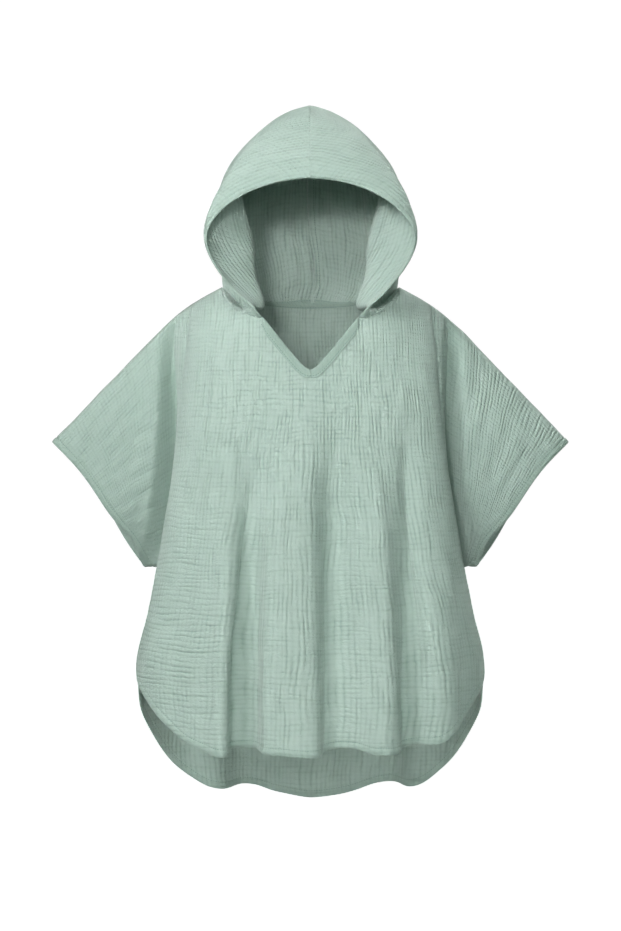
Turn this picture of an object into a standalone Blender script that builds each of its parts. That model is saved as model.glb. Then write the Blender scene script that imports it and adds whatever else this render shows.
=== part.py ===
"""A child's hooded bath poncho in double gauze, worn and filled out with no wearer.

Metres, +Z up, the front faces -Y and +X is the wearer's left. The origin is the middle of the
shoulder line, where the wearer's shoulders carry the cloth. Every panel is a wall of even
thickness on one shared middle surface, which is worked out from the tables below (millimetres).
"""

import math

import bpy
import numpy as np
from mathutils import Vector

MM = 0.001

# Cloth and sewing, in millimetres
CLOTH = 1.2
HEM_CLOTH = 2.0
TRIM_CLOTH = 1.0
SEAM_GAP = 0.3
CORNER_LIMIT = 2.0  # an offset at a sharp corner is at most twice the wall's own
EVENING = 0.03  # how much the offset at a corner leans to the mean of its faces' normals
TRIM_END_GAP = 0.5
MITRE_GAP_SHARE = 0.08  # a band's outer edge keeps this share of its width from the hem of the V
SLANT_LIMIT = 0.2  # a seam gap is opened square to the seam unless that is under this share of it
WELDS_PER_MM = 50  # points closer than 1 / 50 mm are one point of the cloth
SHARP_ANGLE = 50  # degrees
TAPE_HALF_WIDTH = 5.5

# Neck, shoulder and sleeve, in millimetres
NECK_POINT = (102.0, 5.0)  # x and z where the shoulder seam meets the hood
BACK_NECK_Z, BACK_NECK_CURVE = -10.0, 3.5  # nearly straight across the back, then up to the shoulder
SHOULDER_SLOPE, SLEEVE_SLOPE = 0.50, 1.04
BEND_SOFTNESS = 7.0
SLEEVE_TIP = (297.0, 4.0, -173.0)
CUFF_FOOT = (188.0, 3.0, -312.0)
SLEEVE_DEPTH = 30.0  # how far the front and back of the sleeve stand apart, halved
SLEEVE_TAPER = 6.0  # how much flatter it is at the cuff
SLEEVE_FULLNESS = 0.6  # the lower, the blunter the sleeve's upper and lower edges
ARMHOLE_BLEND = 0.55  # share of the sleeve over which the torso's form fades into the sleeve's
CUFF_BOW, CUFF_BOW_TURN = 5.5, 1.65  # the cuff line's wave, and its half turns from top to foot
FRONT_CUFF_RISE, CUFF_RISE_PLACE = 9.0, 3.6  # the front cuff stands up near its foot, so the opening shows
RIDGE_REACH = 92.0  # how far below the shoulder seam the cloth has its full depth
SHOULDER_BULGE = 0.55  # how bluntly it comes to that depth
V_TOP = (53.0, -33.0)  # x and z where the hood's front edge ends on the neckline
V_POINT_Z, V_POINT_ROUNDING = -92.0, 8.0
NECK_BOW = 0.9  # how deep the neckline curves between the V and the shoulder

# The shirt-tail hem, in millimetres: its height at places from the centre to the side vent
HEM_COLUMNS = ("place", "front", "back")
HEM = (
    (0.00, -519, -589),
    (0.35, -519, -580),
    (0.45, -514, -574),
    (0.54, -502, -561),
    (0.62, -483, -541),
    (0.70, -463, -514),
    (0.80, -444, -486),
    (0.90, -427, -458),
    (1.00, -411, -411),
)

# The torso, a row for each height. half: the widest point of the side fold. seam: the side seam,
# or above the armpit the line where the sleeve starts. The front and back columns are how far the
# cloth stands from the middle plane: at the centre, at the side fold, and on the seam line.
TORSO_COLUMNS = (
    "z", "half", "seam", "front", "front_fold", "front_seam", "back", "back_fold", "back_seam",
)
TORSO = (
    (20, 134, 150, 72, 36, 32, 64, 36, 32),
    (-35, 138, 156, 76, 38, 35, 70, 40, 35),
    (-90, 143, 155, 82, 40, 33, 76, 43, 35),
    (-130, 147, 153, 86, 40, 29, 80, 44, 32),
    (-170, 152, 154, 89, 38, 26, 83, 43, 30),
    (-217, 158, 157, 92, 36, 21, 86, 41, 26),
    (-271, 167, 164, 95, 32, 15, 88, 39, 19),
    (-317, 174, 170, 97, 28, 0, 90, 32, 0),
    (-345, 180, 175, 99, 24, 0, 92, 29, 0),
    (-380, 188, 184, 101, 20, 0, 93, 25, 0),
    (-411, 196, 194, 102, 16, 0, 94, 21, 0),
    (-440, 198, 197, 103, 14, 0, 95, 19, 0),
    (-500, 197, 196, 105, 12, 0, 97, 17, 0),
    (-610, 190, 189, 108, 12, 0, 100, 17, 0),
)
FOLD_SHARE = 0.88  # share of the half girth at the side fold's widest point
ROUNDNESS = 2.5
DEPTH_SPACING = 0.55  # how much depth counts beside width where places are spaced round the side
CURVE_STEPS = 200

# The largest folds. at_chest and at_hem: place across the panel, -1 and 1 being the side seams.
# depth and width are at the hem, in millimetres and shares; top_z is where the fold has died out.
# lean pushes the crest sideways, as on a fold that lies over, and drop lowers the hem there.
FOLD_COLUMNS = ("at_chest", "at_hem", "depth", "width", "top_z", "lean", "drop")
FRONT_FOLDS = (
    (-0.31, -0.360, 10, 0.060, -170, 9, 5),
    (-0.24, -0.250, -15, 0.062, -190, 0, -5),
    (0.01, 0.005, 7, 0.095, -100, 2, 5),
    (0.12, 0.145, -10, 0.080, -120, 0, -6),
    (0.25, 0.290, 6, 0.065, -150, 2, 1),
    (0.36, 0.425, -8, 0.050, -120, 0, -3),
    (0.46, 0.520, 4, 0.060, -150, 0, 2),
)
BACK_FOLDS = (
    (-0.36, -0.42, -10, 0.080, -120, 0, 3),
    (-0.20, -0.26, 8, 0.070, -90, 0, -5),
    (0.00, 0.03, -11, 0.150, -70, 0, 3),
    (0.22, 0.31, 9, 0.090, -90, 0, -6),
    (0.37, 0.47, -10, 0.070, -120, 0, 4),
)
FOLD_ONSET = 0.9  # the lower, the sooner a fold is deep below its top
DROP_ONSET = 3  # the higher, the nearer the hem a fold pulls the cloth down
FOLD_EDGE = 2.5  # 2 is a bell-shaped fold; higher ones have a flatter crest and steeper sides

# The hood, a row for each level from just above the neck seam to the centre seam.
# rim: the front edge. near, pinch, side, rear: half widths behind it. back: on the centre seam.
# arch: how far the level stands above the straight line from its rim to its back.
HOOD_COLUMNS = ("rim_x", "rim_y", "rim_z", "near", "pinch", "side", "rear", "back_y", "back_z", "arch")
HOOD = (
    (80, -75, -8, 77, 60, 94, 74, 73, 15, 14),
    (104, -81, 21, 101, 66, 95, 77, 82, 48, 11),
    (116, -84, 50, 114, 73, 98, 80, 90, 80, 14),
    (111, -85, 71, 113, 82, 99, 80, 95, 110, 26),
    (93, -86, 91, 102, 86, 83, 70, 96, 137, 42),
    (64, -86, 108, 76, 69, 53, 45, 94, 158, 56),
    (32, -86, 118, 41, 36, 26, 23, 91, 172, 61),
    (0, -86, 122, 0, 0, 0, 0, 89, 178, 64),
)
HOOD_STATIONS = (0.0, 0.12, 0.27, 0.50, 0.80, 1.0)
HOOD_DEPTH_SHARES = (0.0, 0.09, 0.24, 0.50, 0.85, 1.0)

# Mesh densities
V_COLUMNS, NECK_COLUMNS, SHOULDER_COLUMNS, HOOD_ROWS = 4, 5, 8, 14
TAPE_END_COLUMN = 2
SLEEVE_SHARES = (0.20, 0.36, 0.51, 0.66, 0.80, 0.93, 1)
ROW_SHARES = (
    0, 0.024, 0.05, 0.10, 0.16, 0.22, 0.28, 0.34, 0.41, 0.48,
    0.55, 0.62, 0.69, 0.755, 0.82, 0.88, 0.935, 0.977, 1,
)
ARMPIT_ROW = 13
EDGE_PASSES = 6  # the upper edge's height and distance from the centre are found from each other

GAUZE = (0.43, 0.55, 0.48, 1.0)


def column(table, names, name):
    """One named column of a table as an array."""
    return np.array([row[names.index(name)] for row in table], float)


def spline(knots, values, at):
    """A natural cubic spline through the values, one for each knot, read at the places given."""
    knots, values, at = np.asarray(knots, float), np.asarray(values, float), np.asarray(at, float)
    if knots[0] > knots[-1]:
        knots, values = knots[::-1], values[::-1]
    n = len(knots)
    step = np.diff(knots)
    slope = np.diff(values, axis=0) / step.reshape((-1,) + (1,) * (values.ndim - 1))
    system, right = np.eye(n), np.zeros_like(values)
    for i in range(1, n - 1):
        system[i, i - 1 : i + 2] = step[i - 1], 2 * (step[i - 1] + step[i]), step[i]
        right[i] = 6 * (slope[i] - slope[i - 1])
    bend = np.linalg.solve(system, right.reshape(n, -1)).reshape(values.shape)
    i = np.clip(np.searchsorted(knots, at) - 1, 0, n - 2)
    shape = at.shape + (1,) * (values.ndim - 1)
    h, a, b = (x.reshape(shape) for x in (step[i], at - knots[i], knots[i + 1] - at))
    curved = (bend[i] * b**3 + bend[i + 1] * a**3) / (6 * h)
    return curved + (values[i] / h - bend[i] * h / 6) * b + (values[i + 1] / h - bend[i + 1] * h / 6) * a


def smooth(t):
    """0 to 1 with no slope at either end."""
    t = np.clip(t, 0, 1)
    return t * t * (3 - 2 * t)


def ridge_z(x):
    """Height of the shoulder and sleeve seam: two slopes with a soft bend between them."""
    x = np.abs(x)
    shoulder = NECK_POINT[1] - SHOULDER_SLOPE * (x - NECK_POINT[0])
    sleeve = SLEEVE_TIP[2] - SLEEVE_SLOPE * (x - SLEEVE_TIP[0])
    return -BEND_SOFTNESS * np.logaddexp(-shoulder / BEND_SOFTNESS, -sleeve / BEND_SOFTNESS)


def rounded(share):
    """x and y of a quarter of a superellipse, at shares of its length from the front."""
    turn = np.linspace(0, math.pi / 2, CURVE_STEPS)
    x, y = np.sin(turn) ** (2 / ROUNDNESS), np.cos(turn) ** (2 / ROUNDNESS)
    along = np.concatenate([[0], np.cumsum(np.hypot(np.diff(x), DEPTH_SPACING * np.diff(y)))])
    share = np.clip(share, 0, 1) * along[-1]
    return np.interp(share, along, x), np.interp(share, along, y)


def torso_point(place, z, side):
    """The middle surface at a place across the panel, -1 to 1, and a height. side is front or back."""
    share, sign = np.abs(place), np.sign(place)
    row = {n: spline(column(TORSO, TORSO_COLUMNS, "z"), column(TORSO, TORSO_COLUMNS, n), z)
           for n in ("half", "seam", side, side + "_fold", side + "_seam")}
    across, out = rounded(share / FOLD_SHARE)
    x, y = row["half"] * across, row[side + "_fold"] + (row[side] - row[side + "_fold"]) * out
    inward = np.clip((share - FOLD_SHARE) / (1 - FOLD_SHARE), 0, 1)
    x = x + (row["seam"] - row["half"]) * smooth(inward)
    y = y + (row[side + "_seam"] - row[side + "_fold"]) * inward
    below = np.clip((ridge_z(x) - z) / RIDGE_REACH, 0, 1)
    y = y * (1 - (1 - below) ** 2) ** SHOULDER_BULGE
    return np.stack([sign * x, -y if side == "front" else y, z], axis=-1)


def neckline_z(x, side):
    """Height of the neck edge at a distance from the centre."""
    x = np.abs(x)
    if side == "back":
        return BACK_NECK_Z + (NECK_POINT[1] - BACK_NECK_Z) * (x / NECK_POINT[0]) ** BACK_NECK_CURVE
    whole = math.hypot(V_TOP[0], V_POINT_ROUNDING) - V_POINT_ROUNDING
    rise = (np.hypot(x, V_POINT_ROUNDING) - V_POINT_ROUNDING) / whole
    along = np.clip((x - V_TOP[0]) / (NECK_POINT[0] - V_TOP[0]), 0, 1)
    arc = V_TOP[1] + (NECK_POINT[1] - V_TOP[1]) * (1 - np.sqrt(1 - along**2)) ** NECK_BOW
    return np.where(x < V_TOP[0], V_POINT_Z + (V_TOP[1] - V_POINT_Z) * rise, arc)


def hem_z(place, side):
    """Height of the hem: level in the middle, and a rounded corner up to the vent."""
    return spline(column(HEM, HEM_COLUMNS, "place"), column(HEM, HEM_COLUMNS, side), np.abs(place))


def share_at(x):
    """The place across the panel of a distance from the centre, at the height of the shoulder."""
    shares = np.linspace(0, FOLD_SHARE, CURVE_STEPS)
    across = torso_point(shares, np.full(CURVE_STEPS, NECK_POINT[1]), "front")[:, 0]
    return float(np.interp(x, across, shares))


def fold_offset(points, place, side):
    """Moves the points out and in along their normals for the folds, and lowers the hem with them."""
    normals = grid_normals(points)
    if side == "back":
        normals = -normals
    hem = hem_z(place, side)
    moved = points.copy()
    folds = FRONT_FOLDS if side == "front" else BACK_FOLDS
    for at_chest, at_hem, depth, width, top_z, lean, drop in folds:
        down = np.clip((points[..., 2] - top_z) / (hem - top_z), 0, 1)
        crest = at_chest + (at_hem - at_chest) * down
        bump = np.exp(-(np.abs((place - crest) / width) ** FOLD_EDGE)) * down**FOLD_ONSET
        moved += normals * (depth * bump)[..., None]
        moved[..., 0] += lean * bump
        moved[..., 2] -= drop * bump * down**DROP_ONSET
    return moved


def grid_normals(points):
    """Unit normals of a grid of points, rows down and columns towards +X: they face -Y."""
    down, across = np.gradient(points, axis=0), np.gradient(points, axis=1)
    normals = np.cross(down, across)
    return normals / np.maximum(np.linalg.norm(normals, axis=-1, keepdims=True), 1e-9)


def torso_places():
    """Places of the grid's columns from the centre to the side: V edge, neck seam, shoulder seam."""
    v_top, neck = share_at(V_TOP[0]), share_at(NECK_POINT[0])
    half = np.concatenate([
        np.linspace(0, v_top, V_COLUMNS + 1),
        np.linspace(v_top, neck, NECK_COLUMNS + 1)[1:],
        np.linspace(neck, 1, SHOULDER_COLUMNS + 1)[1:],
    ])
    return np.concatenate([-half[:0:-1], half])


def torso_grid(side):
    """The torso part of a panel, rows from the neck and shoulder down to the hem."""
    places = torso_places()
    edge = np.full(len(places), NECK_POINT[1])
    for _ in range(EDGE_PASSES):
        x = torso_point(places, edge, side)[:, 0]
        edge = np.where(np.abs(places) < share_at(NECK_POINT[0]) + 1e-6, neckline_z(x, side), ridge_z(x))
    hem = hem_z(places, side)
    z = edge + (hem - edge) * np.array(ROW_SHARES)[:, None]
    place = np.broadcast_to(places, z.shape)
    return fold_offset(torso_point(place, z, side), place, side)


def sleeve_grid(torso, side, sign):
    """The sleeve part of a panel, from the torso's own armhole column out to the cuff."""
    start = torso[: ARMPIT_ROW + 1, -1 if sign > 0 else 0]
    out = -1 if side == "front" else 1
    along = np.array(SLEEVE_SHARES)
    down = np.array(ROW_SHARES[: ARMPIT_ROW + 1]) / ROW_SHARES[ARMPIT_ROW]
    top_x = abs(start[0, 0]) + (SLEEVE_TIP[0] - abs(start[0, 0])) * along
    top = np.stack([sign * top_x, SLEEVE_TIP[1] * along, ridge_z(top_x)], axis=-1)
    foot = start[-1] + (np.array(CUFF_FOOT) * (sign, 1, 1) - start[-1]) * along[:, None]
    plain = top + (foot - top) * down[:, None, None]
    lens = (4 * down * (1 - down)) ** SLEEVE_FULLNESS
    plain[..., 1] += out * lens[:, None] * (SLEEVE_DEPTH - SLEEVE_TAPER * along)
    slope = np.array([sign * (SLEEVE_TIP[0] - NECK_POINT[0]), 0, SLEEVE_TIP[2] - NECK_POINT[1]])
    slope /= np.linalg.norm(slope)
    bow = CUFF_BOW * np.sin(CUFF_BOW_TURN * math.pi * down)
    if side == "front":
        bow = bow + FRONT_CUFF_RISE * np.sin(math.pi * down**CUFF_RISE_PLACE) ** 2
    plain -= (bow[:, None] * along**3)[..., None] * slope
    first = start[0] + (start[-1] - start[0]) * down[:, None]
    first[:, 1] += out * lens * SLEEVE_DEPTH
    fading = (1 - smooth(along / ARMHOLE_BLEND))[:, None]
    sleeve = plain + (start - first)[:, None] * fading
    return np.concatenate([start[:, None], sleeve], axis=1)


def hood_grid(neck_front, neck_back):
    """The wearer's left half of the hood, rows from the neck seam up, columns from rim to back."""
    seam = np.concatenate([neck_front, neck_back[1:]])
    steps = np.linalg.norm(np.diff(seam, axis=0), axis=1)
    stations = np.concatenate([[0], np.cumsum(steps)]) / steps.sum()
    levels = []
    for row in HOOD:
        r = dict(zip(HOOD_COLUMNS, row))
        x = (r["rim_x"], r["near"], r["pinch"], r["side"], r["rear"], 0)
        y = r["rim_y"] + (r["back_y"] - r["rim_y"]) * np.array(HOOD_DEPTH_SHARES)
        points = spline(HOOD_STATIONS, np.stack([x, y], axis=-1), stations)
        z = r["rim_z"] + (r["back_z"] - r["rim_z"]) * stations + r["arch"] * np.sin(math.pi * stations)
        levels.append(np.column_stack([points, z]))
    levels = np.array([seam, *levels])
    levels[1:, -1, 0] = 0
    levels[-1, :, 0] = 0
    heights = np.concatenate([[0], np.cumsum(np.linalg.norm(np.diff(levels, axis=0), axis=2).mean(axis=1))])
    rows = spline(heights / heights[-1], levels, np.linspace(0, 1, HOOD_ROWS + 1))
    rows[1:, -1, 0] = 0
    rows[-1, :, 0] = 0
    return rows


class Cloth:
    """Middle surfaces made of blocks of points. Points at one place are one point of the garment."""

    def __init__(self):
        self.normals = {}
        self.pieces_at = {}
        self.doubled = set()

    @staticmethod
    def key(point):
        return tuple(int(round(c * WELDS_PER_MM)) for c in point)

    def piece(self, name, blocks):
        """Welds a panel's blocks into one list of points and faces, and adds up the seam normals."""
        points, index, faces = [], {}, []
        for block, turned in blocks:
            numbers = np.empty(block.shape[:2], int)
            for place in np.ndindex(block.shape[:2]):
                key = self.key(block[place])
                if key not in index:
                    index[key] = len(points)
                    points.append(block[place])
                numbers[place] = index[key]
            for i in range(numbers.shape[0] - 1):
                for j in range(numbers.shape[1] - 1):
                    quad = [numbers[i, j], numbers[i + 1, j], numbers[i + 1, j + 1], numbers[i, j + 1]]
                    faces += split(quad[::-1] if turned else quad, points)
        for face in faces:
            for k, n in enumerate(face):
                one, other = points[face[k - 2]] - points[n], points[face[k - 1]] - points[n]
                normal, size = np.cross(one, other), np.linalg.norm(one) * np.linalg.norm(other)
                sine = np.linalg.norm(normal) / size
                angle = math.atan2(sine, one @ other / size)
                normal /= sine * size
                key = self.key(points[n])
                corner = np.column_stack([np.outer(normal, normal), normal]) * angle
                self.normals[key] = self.normals.get(key, 0) + corner
        for point in points:
            self.pieces_at.setdefault(self.key(point), set()).add(name)
        return name, np.array(points), faces

    def hem(self, grid):
        """Marks the points where the cloth is turned under."""
        self.doubled.update(self.key(p) for p in grid.reshape(-1, 3))

    def normal(self, point):
        """The way out of the cloth at a point: it moves every face round it out by about 1."""
        total = self.normals[self.key(point)]
        evened = total[:, :3] + np.eye(3) * np.trace(total[:, :3]) * EVENING
        way = np.linalg.solve(evened, total[:, 3]) * (1 + EVENING)
        return way * min(1, CORNER_LIMIT / np.linalg.norm(way))


def split(quad, points):
    """A quad's two triangles, along its shorter diagonal. Corners at one point give one triangle."""
    a, b, c, d = quad
    if np.linalg.norm(points[a] - points[c]) <= np.linalg.norm(points[b] - points[d]) + 1e-6:
        pair = [[a, b, c], [a, c, d]]
    else:
        pair = [[a, b, d], [b, c, d]]
    return [t for t in pair if len(set(t)) == 3]


def open_edges(faces):
    """The edges that only one face has, in that face's direction."""
    edges = {}
    for face in faces:
        for k, n in enumerate(face):
            edges[(face[k - 1], n)] = True
    return [(a, b) for a, b in edges if (b, a) not in edges]


DIAGONAL_ORDER = np.array([1.0, 2.0, 3.0])  # the two sides of a seam are split along the same diagonals


def wall(name, points, normals, faces, thickness):
    """One closed wall: the points moved out and in by half the thickness, joined round the edge."""
    offset = normals * (np.asarray(thickness) / 2)[:, None]
    vertices = np.concatenate([points + offset, points - offset]) * MM
    n = len(points)
    polygons = [list(f) for f in faces] + [[i + n for i in reversed(f)] for f in faces]
    for a, b in open_edges(faces):
        if points[a] @ DIAGONAL_ORDER > points[b] @ DIAGONAL_ORDER:
            polygons += [[b, a, a + n], [b, a + n, b + n]]
        else:
            polygons += [[b, a, b + n], [a, a + n, b + n]]
    mesh = bpy.data.meshes.new(name)
    mesh.from_pydata([Vector(v) for v in vertices], [], [[int(i) for i in p] for p in polygons])
    mesh.validate()
    mesh.update()
    mesh.shade_smooth()
    mesh.set_sharp_from_angle(angle=math.radians(SHARP_ANGLE))
    mesh.materials.append(gauze())
    bpy.context.scene.collection.objects.link(bpy.data.objects.new(name, mesh))


def gauze():
    """Double gauze cotton, shared by every panel."""
    material = bpy.data.materials.get("gauze")
    if material is None:
        material = bpy.data.materials.new("gauze")
        material.use_nodes = True
        shader = material.node_tree.nodes["Principled BSDF"]
        shader.inputs["Base Color"].default_value = GAUZE
        shader.inputs["Roughness"].default_value = 0.95
        shader.inputs["Metallic"].default_value = 0.0
    return material


def sew(cloth, piece):
    """Makes a panel's wall. It keeps half the seam gap from its neighbours, and its hems are doubled."""
    name, points, faces = piece
    normals = np.array([cloth.normal(p) for p in points])
    edges = open_edges(faces)
    on_edge = {a for a, _ in edges} | {b for _, b in edges}
    inward = np.zeros_like(points)
    for face in faces:
        centre = points[face].mean(axis=0)
        for n in face:
            inward[n] += centre - points[n]
    sewn = {n for n in on_edge if len(cloth.pieces_at[cloth.key(points[n])]) > 1}
    tangents = np.zeros_like(points)
    for a, b in edges:
        if a in sewn and b in sewn:
            tangents[[a, b]] += points[b] - points[a]
    moved = points.copy()
    for n in sewn:
        facing = normals[n] / np.linalg.norm(normals[n])
        way = inward[n] - facing * (inward[n] @ facing)
        along = tangents[n] / max(np.linalg.norm(tangents[n]), 1e-9)
        straight = way - along * (way @ along)
        if np.linalg.norm(straight) > SLANT_LIMIT * np.linalg.norm(way):
            way = straight
        moved[n] += way / np.linalg.norm(way) * SEAM_GAP / 2
    thickness = [HEM_CLOTH if cloth.key(p) in cloth.doubled else CLOTH for p in points]
    wall(name, moved, normals, faces, thickness)


def strip_faces(grid):
    """Triangles of a plain grid whose points are listed row by row."""
    rows, columns = grid.shape[:2]
    at = np.arange(rows * columns).reshape(rows, columns)
    points = grid.reshape(-1, 3)
    return [triangle for i in range(rows - 1) for j in range(columns - 1)
            for triangle in split([at[i, j], at[i + 1, j], at[i + 1, j + 1], at[i, j + 1]], points)]


def trim(name, cloth, grid, edges, out):
    """A strip of thin cloth that lies on a panel: the panel's own points, moved out or in."""
    normals = np.array([[cloth.normal(p) for p in row] for row in grid])
    lifted = np.array(edges) + normals * (out * (CLOTH / 2 + SEAM_GAP + TRIM_CLOTH / 2))
    thickness = np.full(grid[..., 0].size, TRIM_CLOTH)
    wall(name, lifted.reshape(-1, 3), normals.reshape(-1, 3), strip_faces(lifted), thickness)


def v_band(name, cloth, grid):
    """The band on the outside of one side of the V, from its mitre at the point to the neck seam."""
    edges = grid.copy()
    for k, inner in ((0, 1), (-1, -2)):
        way = grid[:, inner] - grid[:, k]
        edges[:, k] += way / np.linalg.norm(way, axis=-1, keepdims=True) * TRIM_END_GAP
    edges[0] += (grid[1] - grid[0]) * MITRE_GAP_SHARE
    trim(name, cloth, grid, edges, 1)


def neck_tape(cloth, back, hood):
    """The tape inside the back neck, over the seam between the back panel and the hood."""
    rows = []
    for side in (hood, back):
        way = side[1] - side[0]
        rows.append(side[0] + way / np.linalg.norm(way, axis=-1, keepdims=True) * TAPE_HALF_WIDTH)
    trim("neck_tape", cloth, np.array([hood[1], hood[0], back[1]]), [rows[0], hood[0], rows[1]], -1)


def mirrored(grid):
    """The same points on the wearer's right."""
    return grid * (-1, 1, 1)


def main():
    for obj in list(bpy.data.objects):
        bpy.data.objects.remove(obj)
    front, back = torso_grid("front"), torso_grid("back")
    centre = front.shape[1] // 2
    v_top, neck = centre + V_COLUMNS, centre + V_COLUMNS + NECK_COLUMNS
    # The back panel meets the front one point for point on the shoulder and side seams.
    for shoulder in (slice(neck, None), slice(None, 2 * centre - neck + 1)):
        back[0, shoulder] = front[0, shoulder]
    for k in (0, -1):
        seam = (front[ARMPIT_ROW:, k] + back[ARMPIT_ROW:, k]) / 2
        front[ARMPIT_ROW:, k] = back[ARMPIT_ROW:, k] = seam
    sleeves = {(side, sign): sleeve_grid(grid, side, sign)
               for side, grid in (("front", front), ("back", back)) for sign in (-1, 1)}
    hood = hood_grid(front[0, v_top : neck + 1], back[0, neck : centre - 1 : -1])

    cloth = Cloth()
    panels = [
        cloth.piece("front_panel", [
            (front, False), (sleeves["front", 1], False), (sleeves["front", -1], True),
        ]),
        cloth.piece("back_panel", [
            (back, True), (sleeves["back", 1], True), (sleeves["back", -1], False),
        ]),
        cloth.piece("hood_left", [(hood, True)]),
        cloth.piece("hood_right", [(mirrored(hood), False)]),
    ]
    for grid in (front, back):
        cloth.hem(grid[-2:])
    for grid in sleeves.values():
        cloth.hem(grid[:, -2:])
    for panel in panels:
        sew(cloth, panel)
    v_band("neck_band_left", cloth, front[:2, centre : centre + V_COLUMNS + 1])
    v_band("neck_band_right", cloth, front[:2, centre - V_COLUMNS : centre + 1])
    end = V_COLUMNS + NECK_COLUMNS - TAPE_END_COLUMN
    half = hood[:2, -1 - end :]
    whole = np.concatenate([half, mirrored(half)[:, -2::-1]], axis=1)
    neck_tape(cloth, back[:2, centre - end : centre + end + 1][:, ::-1], whole)


main()
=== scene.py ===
"""The cloth of a child's hooded bath poncho in crinkled double gauze, filled out with no wearer.

Lengths in the tables are millimetres. The front faces -Y, +X is the wearer's left and the origin
is the middle of the shoulder line. The panels are thin shells on the same middle surface as their
solids, sampled finely, with creases, turned hems and gathers added to it.
"""

import math

import bpy
import numpy as np
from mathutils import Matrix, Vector


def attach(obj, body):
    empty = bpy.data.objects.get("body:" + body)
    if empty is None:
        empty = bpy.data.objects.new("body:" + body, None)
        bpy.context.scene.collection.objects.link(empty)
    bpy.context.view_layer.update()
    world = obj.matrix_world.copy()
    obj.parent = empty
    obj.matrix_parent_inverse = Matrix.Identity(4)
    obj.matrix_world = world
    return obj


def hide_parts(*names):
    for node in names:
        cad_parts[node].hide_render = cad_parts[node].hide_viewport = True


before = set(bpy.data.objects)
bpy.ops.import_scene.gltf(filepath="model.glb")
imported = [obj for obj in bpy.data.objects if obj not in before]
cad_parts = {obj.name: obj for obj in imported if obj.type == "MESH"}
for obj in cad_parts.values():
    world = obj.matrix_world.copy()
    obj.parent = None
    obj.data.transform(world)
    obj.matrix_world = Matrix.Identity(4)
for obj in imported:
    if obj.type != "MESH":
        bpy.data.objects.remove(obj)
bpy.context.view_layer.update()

MM = 0.001

# ---------------------------------------------------------------- the garment's form

# Points of the outline are x and z, and a point of a sleeve's edge is x, y and z.
NECK_POINT = (102.0, 5.0)
BACK_NECK_Z, BACK_NECK_CURVE = -10.0, 3.5
SHOULDER_SLOPE, SLEEVE_SLOPE = 0.50, 1.04
BEND_SOFTNESS = 7.0
SLEEVE_TIP = (297.0, 4.0, -173.0)
CUFF_FOOT = (188.0, 3.0, -312.0)
SLEEVE_DEPTH, SLEEVE_TAPER = 30.0, 6.0
CUFF_BOW, CUFF_BOW_TURN = 5.5, 1.65
FRONT_CUFF_RISE, CUFF_RISE_PLACE = 9.0, 3.6
SLEEVE_SECTION, SLEEVE_BLEND = 0.6, 0.55
# How much the cloth falls in where sleeve and body meet, how far that reaches along the sleeve, how
# near to the middle plane it may come, and the place across the body where it begins.
ARMHOLE_SINK, ARMHOLE_REACH, ARMHOLE_ROOM, ARMHOLE_EDGE = 0.88, 32.0, 3.5, 0.92
RIDGE_REACH, RIDGE_ROUNDNESS = 92.0, 0.55
V_TOP = (53.0, -33.0)
V_POINT_Z, V_POINT_ROUNDING = -92.0, 8.0
NECK_CORNER = 0.9
# The torso's section is a superellipse out to FOLD_SHARE of the panel, and turns in to the seam beyond.
FOLD_SHARE = 0.88
ROUNDNESS, SECTION_FLATNESS = 2.5, 0.55

HEM_COLUMNS = ("place", "front", "back")
HEM = (
    (0.00, -519, -589),
    (0.35, -519, -580),
    (0.45, -514, -574),
    (0.54, -502, -561),
    (0.62, -483, -541),
    (0.70, -463, -514),
    (0.80, -444, -486),
    (0.90, -427, -458),
    (1.00, -411, -411),
)
TORSO_COLUMNS = ("z", "half", "seam", "front", "front_fold", "front_seam", "back", "back_fold", "back_seam")
TORSO = (
    (20, 134, 150, 72, 36, 32, 64, 36, 32),
    (-35, 138, 156, 76, 38, 35, 70, 40, 35),
    (-90, 143, 155, 82, 40, 33, 76, 43, 35),
    (-130, 147, 153, 86, 40, 29, 80, 44, 32),
    (-170, 152, 154, 89, 38, 26, 83, 43, 30),
    (-217, 158, 157, 92, 36, 21, 86, 41, 26),
    (-271, 167, 164, 95, 32, 15, 88, 39, 19),
    (-317, 174, 170, 97, 28, 0, 90, 32, 0),
    (-345, 180, 175, 99, 24, 0, 92, 29, 0),
    (-380, 188, 184, 101, 20, 0, 93, 25, 0),
    (-411, 196, 194, 102, 16, 0, 94, 21, 0),
    (-440, 198, 197, 103, 14, 0, 95, 19, 0),
    (-500, 197, 196, 105, 12, 0, 97, 17, 0),
    (-610, 190, 189, 108, 12, 0, 100, 17, 0),
)
# The largest folds, as on the solids. Columns: at_chest, at_hem, depth, width, top_z, lean and drop.
# at_chest, at_hem and width are places across the panel, where its half is 1.
FRONT_FOLDS = (
    (-0.31, -0.360, 10, 0.060, -170, 9, 5),
    (-0.24, -0.250, -15, 0.062, -190, 0, -5),
    (0.01, 0.005, 7, 0.095, -100, 2, 5),
    (0.12, 0.145, -10, 0.080, -120, 0, -6),
    (0.25, 0.290, 6, 0.065, -150, 2, 1),
    (0.36, 0.425, -8, 0.050, -120, 0, -3),
    (0.46, 0.520, 4, 0.060, -150, 0, 2),
)
BACK_FOLDS = (
    (-0.36, -0.42, -10, 0.080, -120, 0, 3),
    (-0.20, -0.26, 8, 0.070, -90, 0, -5),
    (0.00, 0.03, -11, 0.150, -70, 0, 3),
    (0.22, 0.31, 9, 0.090, -90, 0, -6),
    (0.37, 0.47, -10, 0.070, -120, 0, 4),
)
FOLD_EDGE = 2.5  # 2 is a bell-shaped fold; higher ones have a flatter crest and steeper sides
FOLD_RISE, FOLD_DROP_RISE = 0.9, 3
HOOD_COLUMNS = ("rim_x", "rim_y", "rim_z", "near", "pinch", "side", "rear", "back_y", "back_z", "arch")
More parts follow.
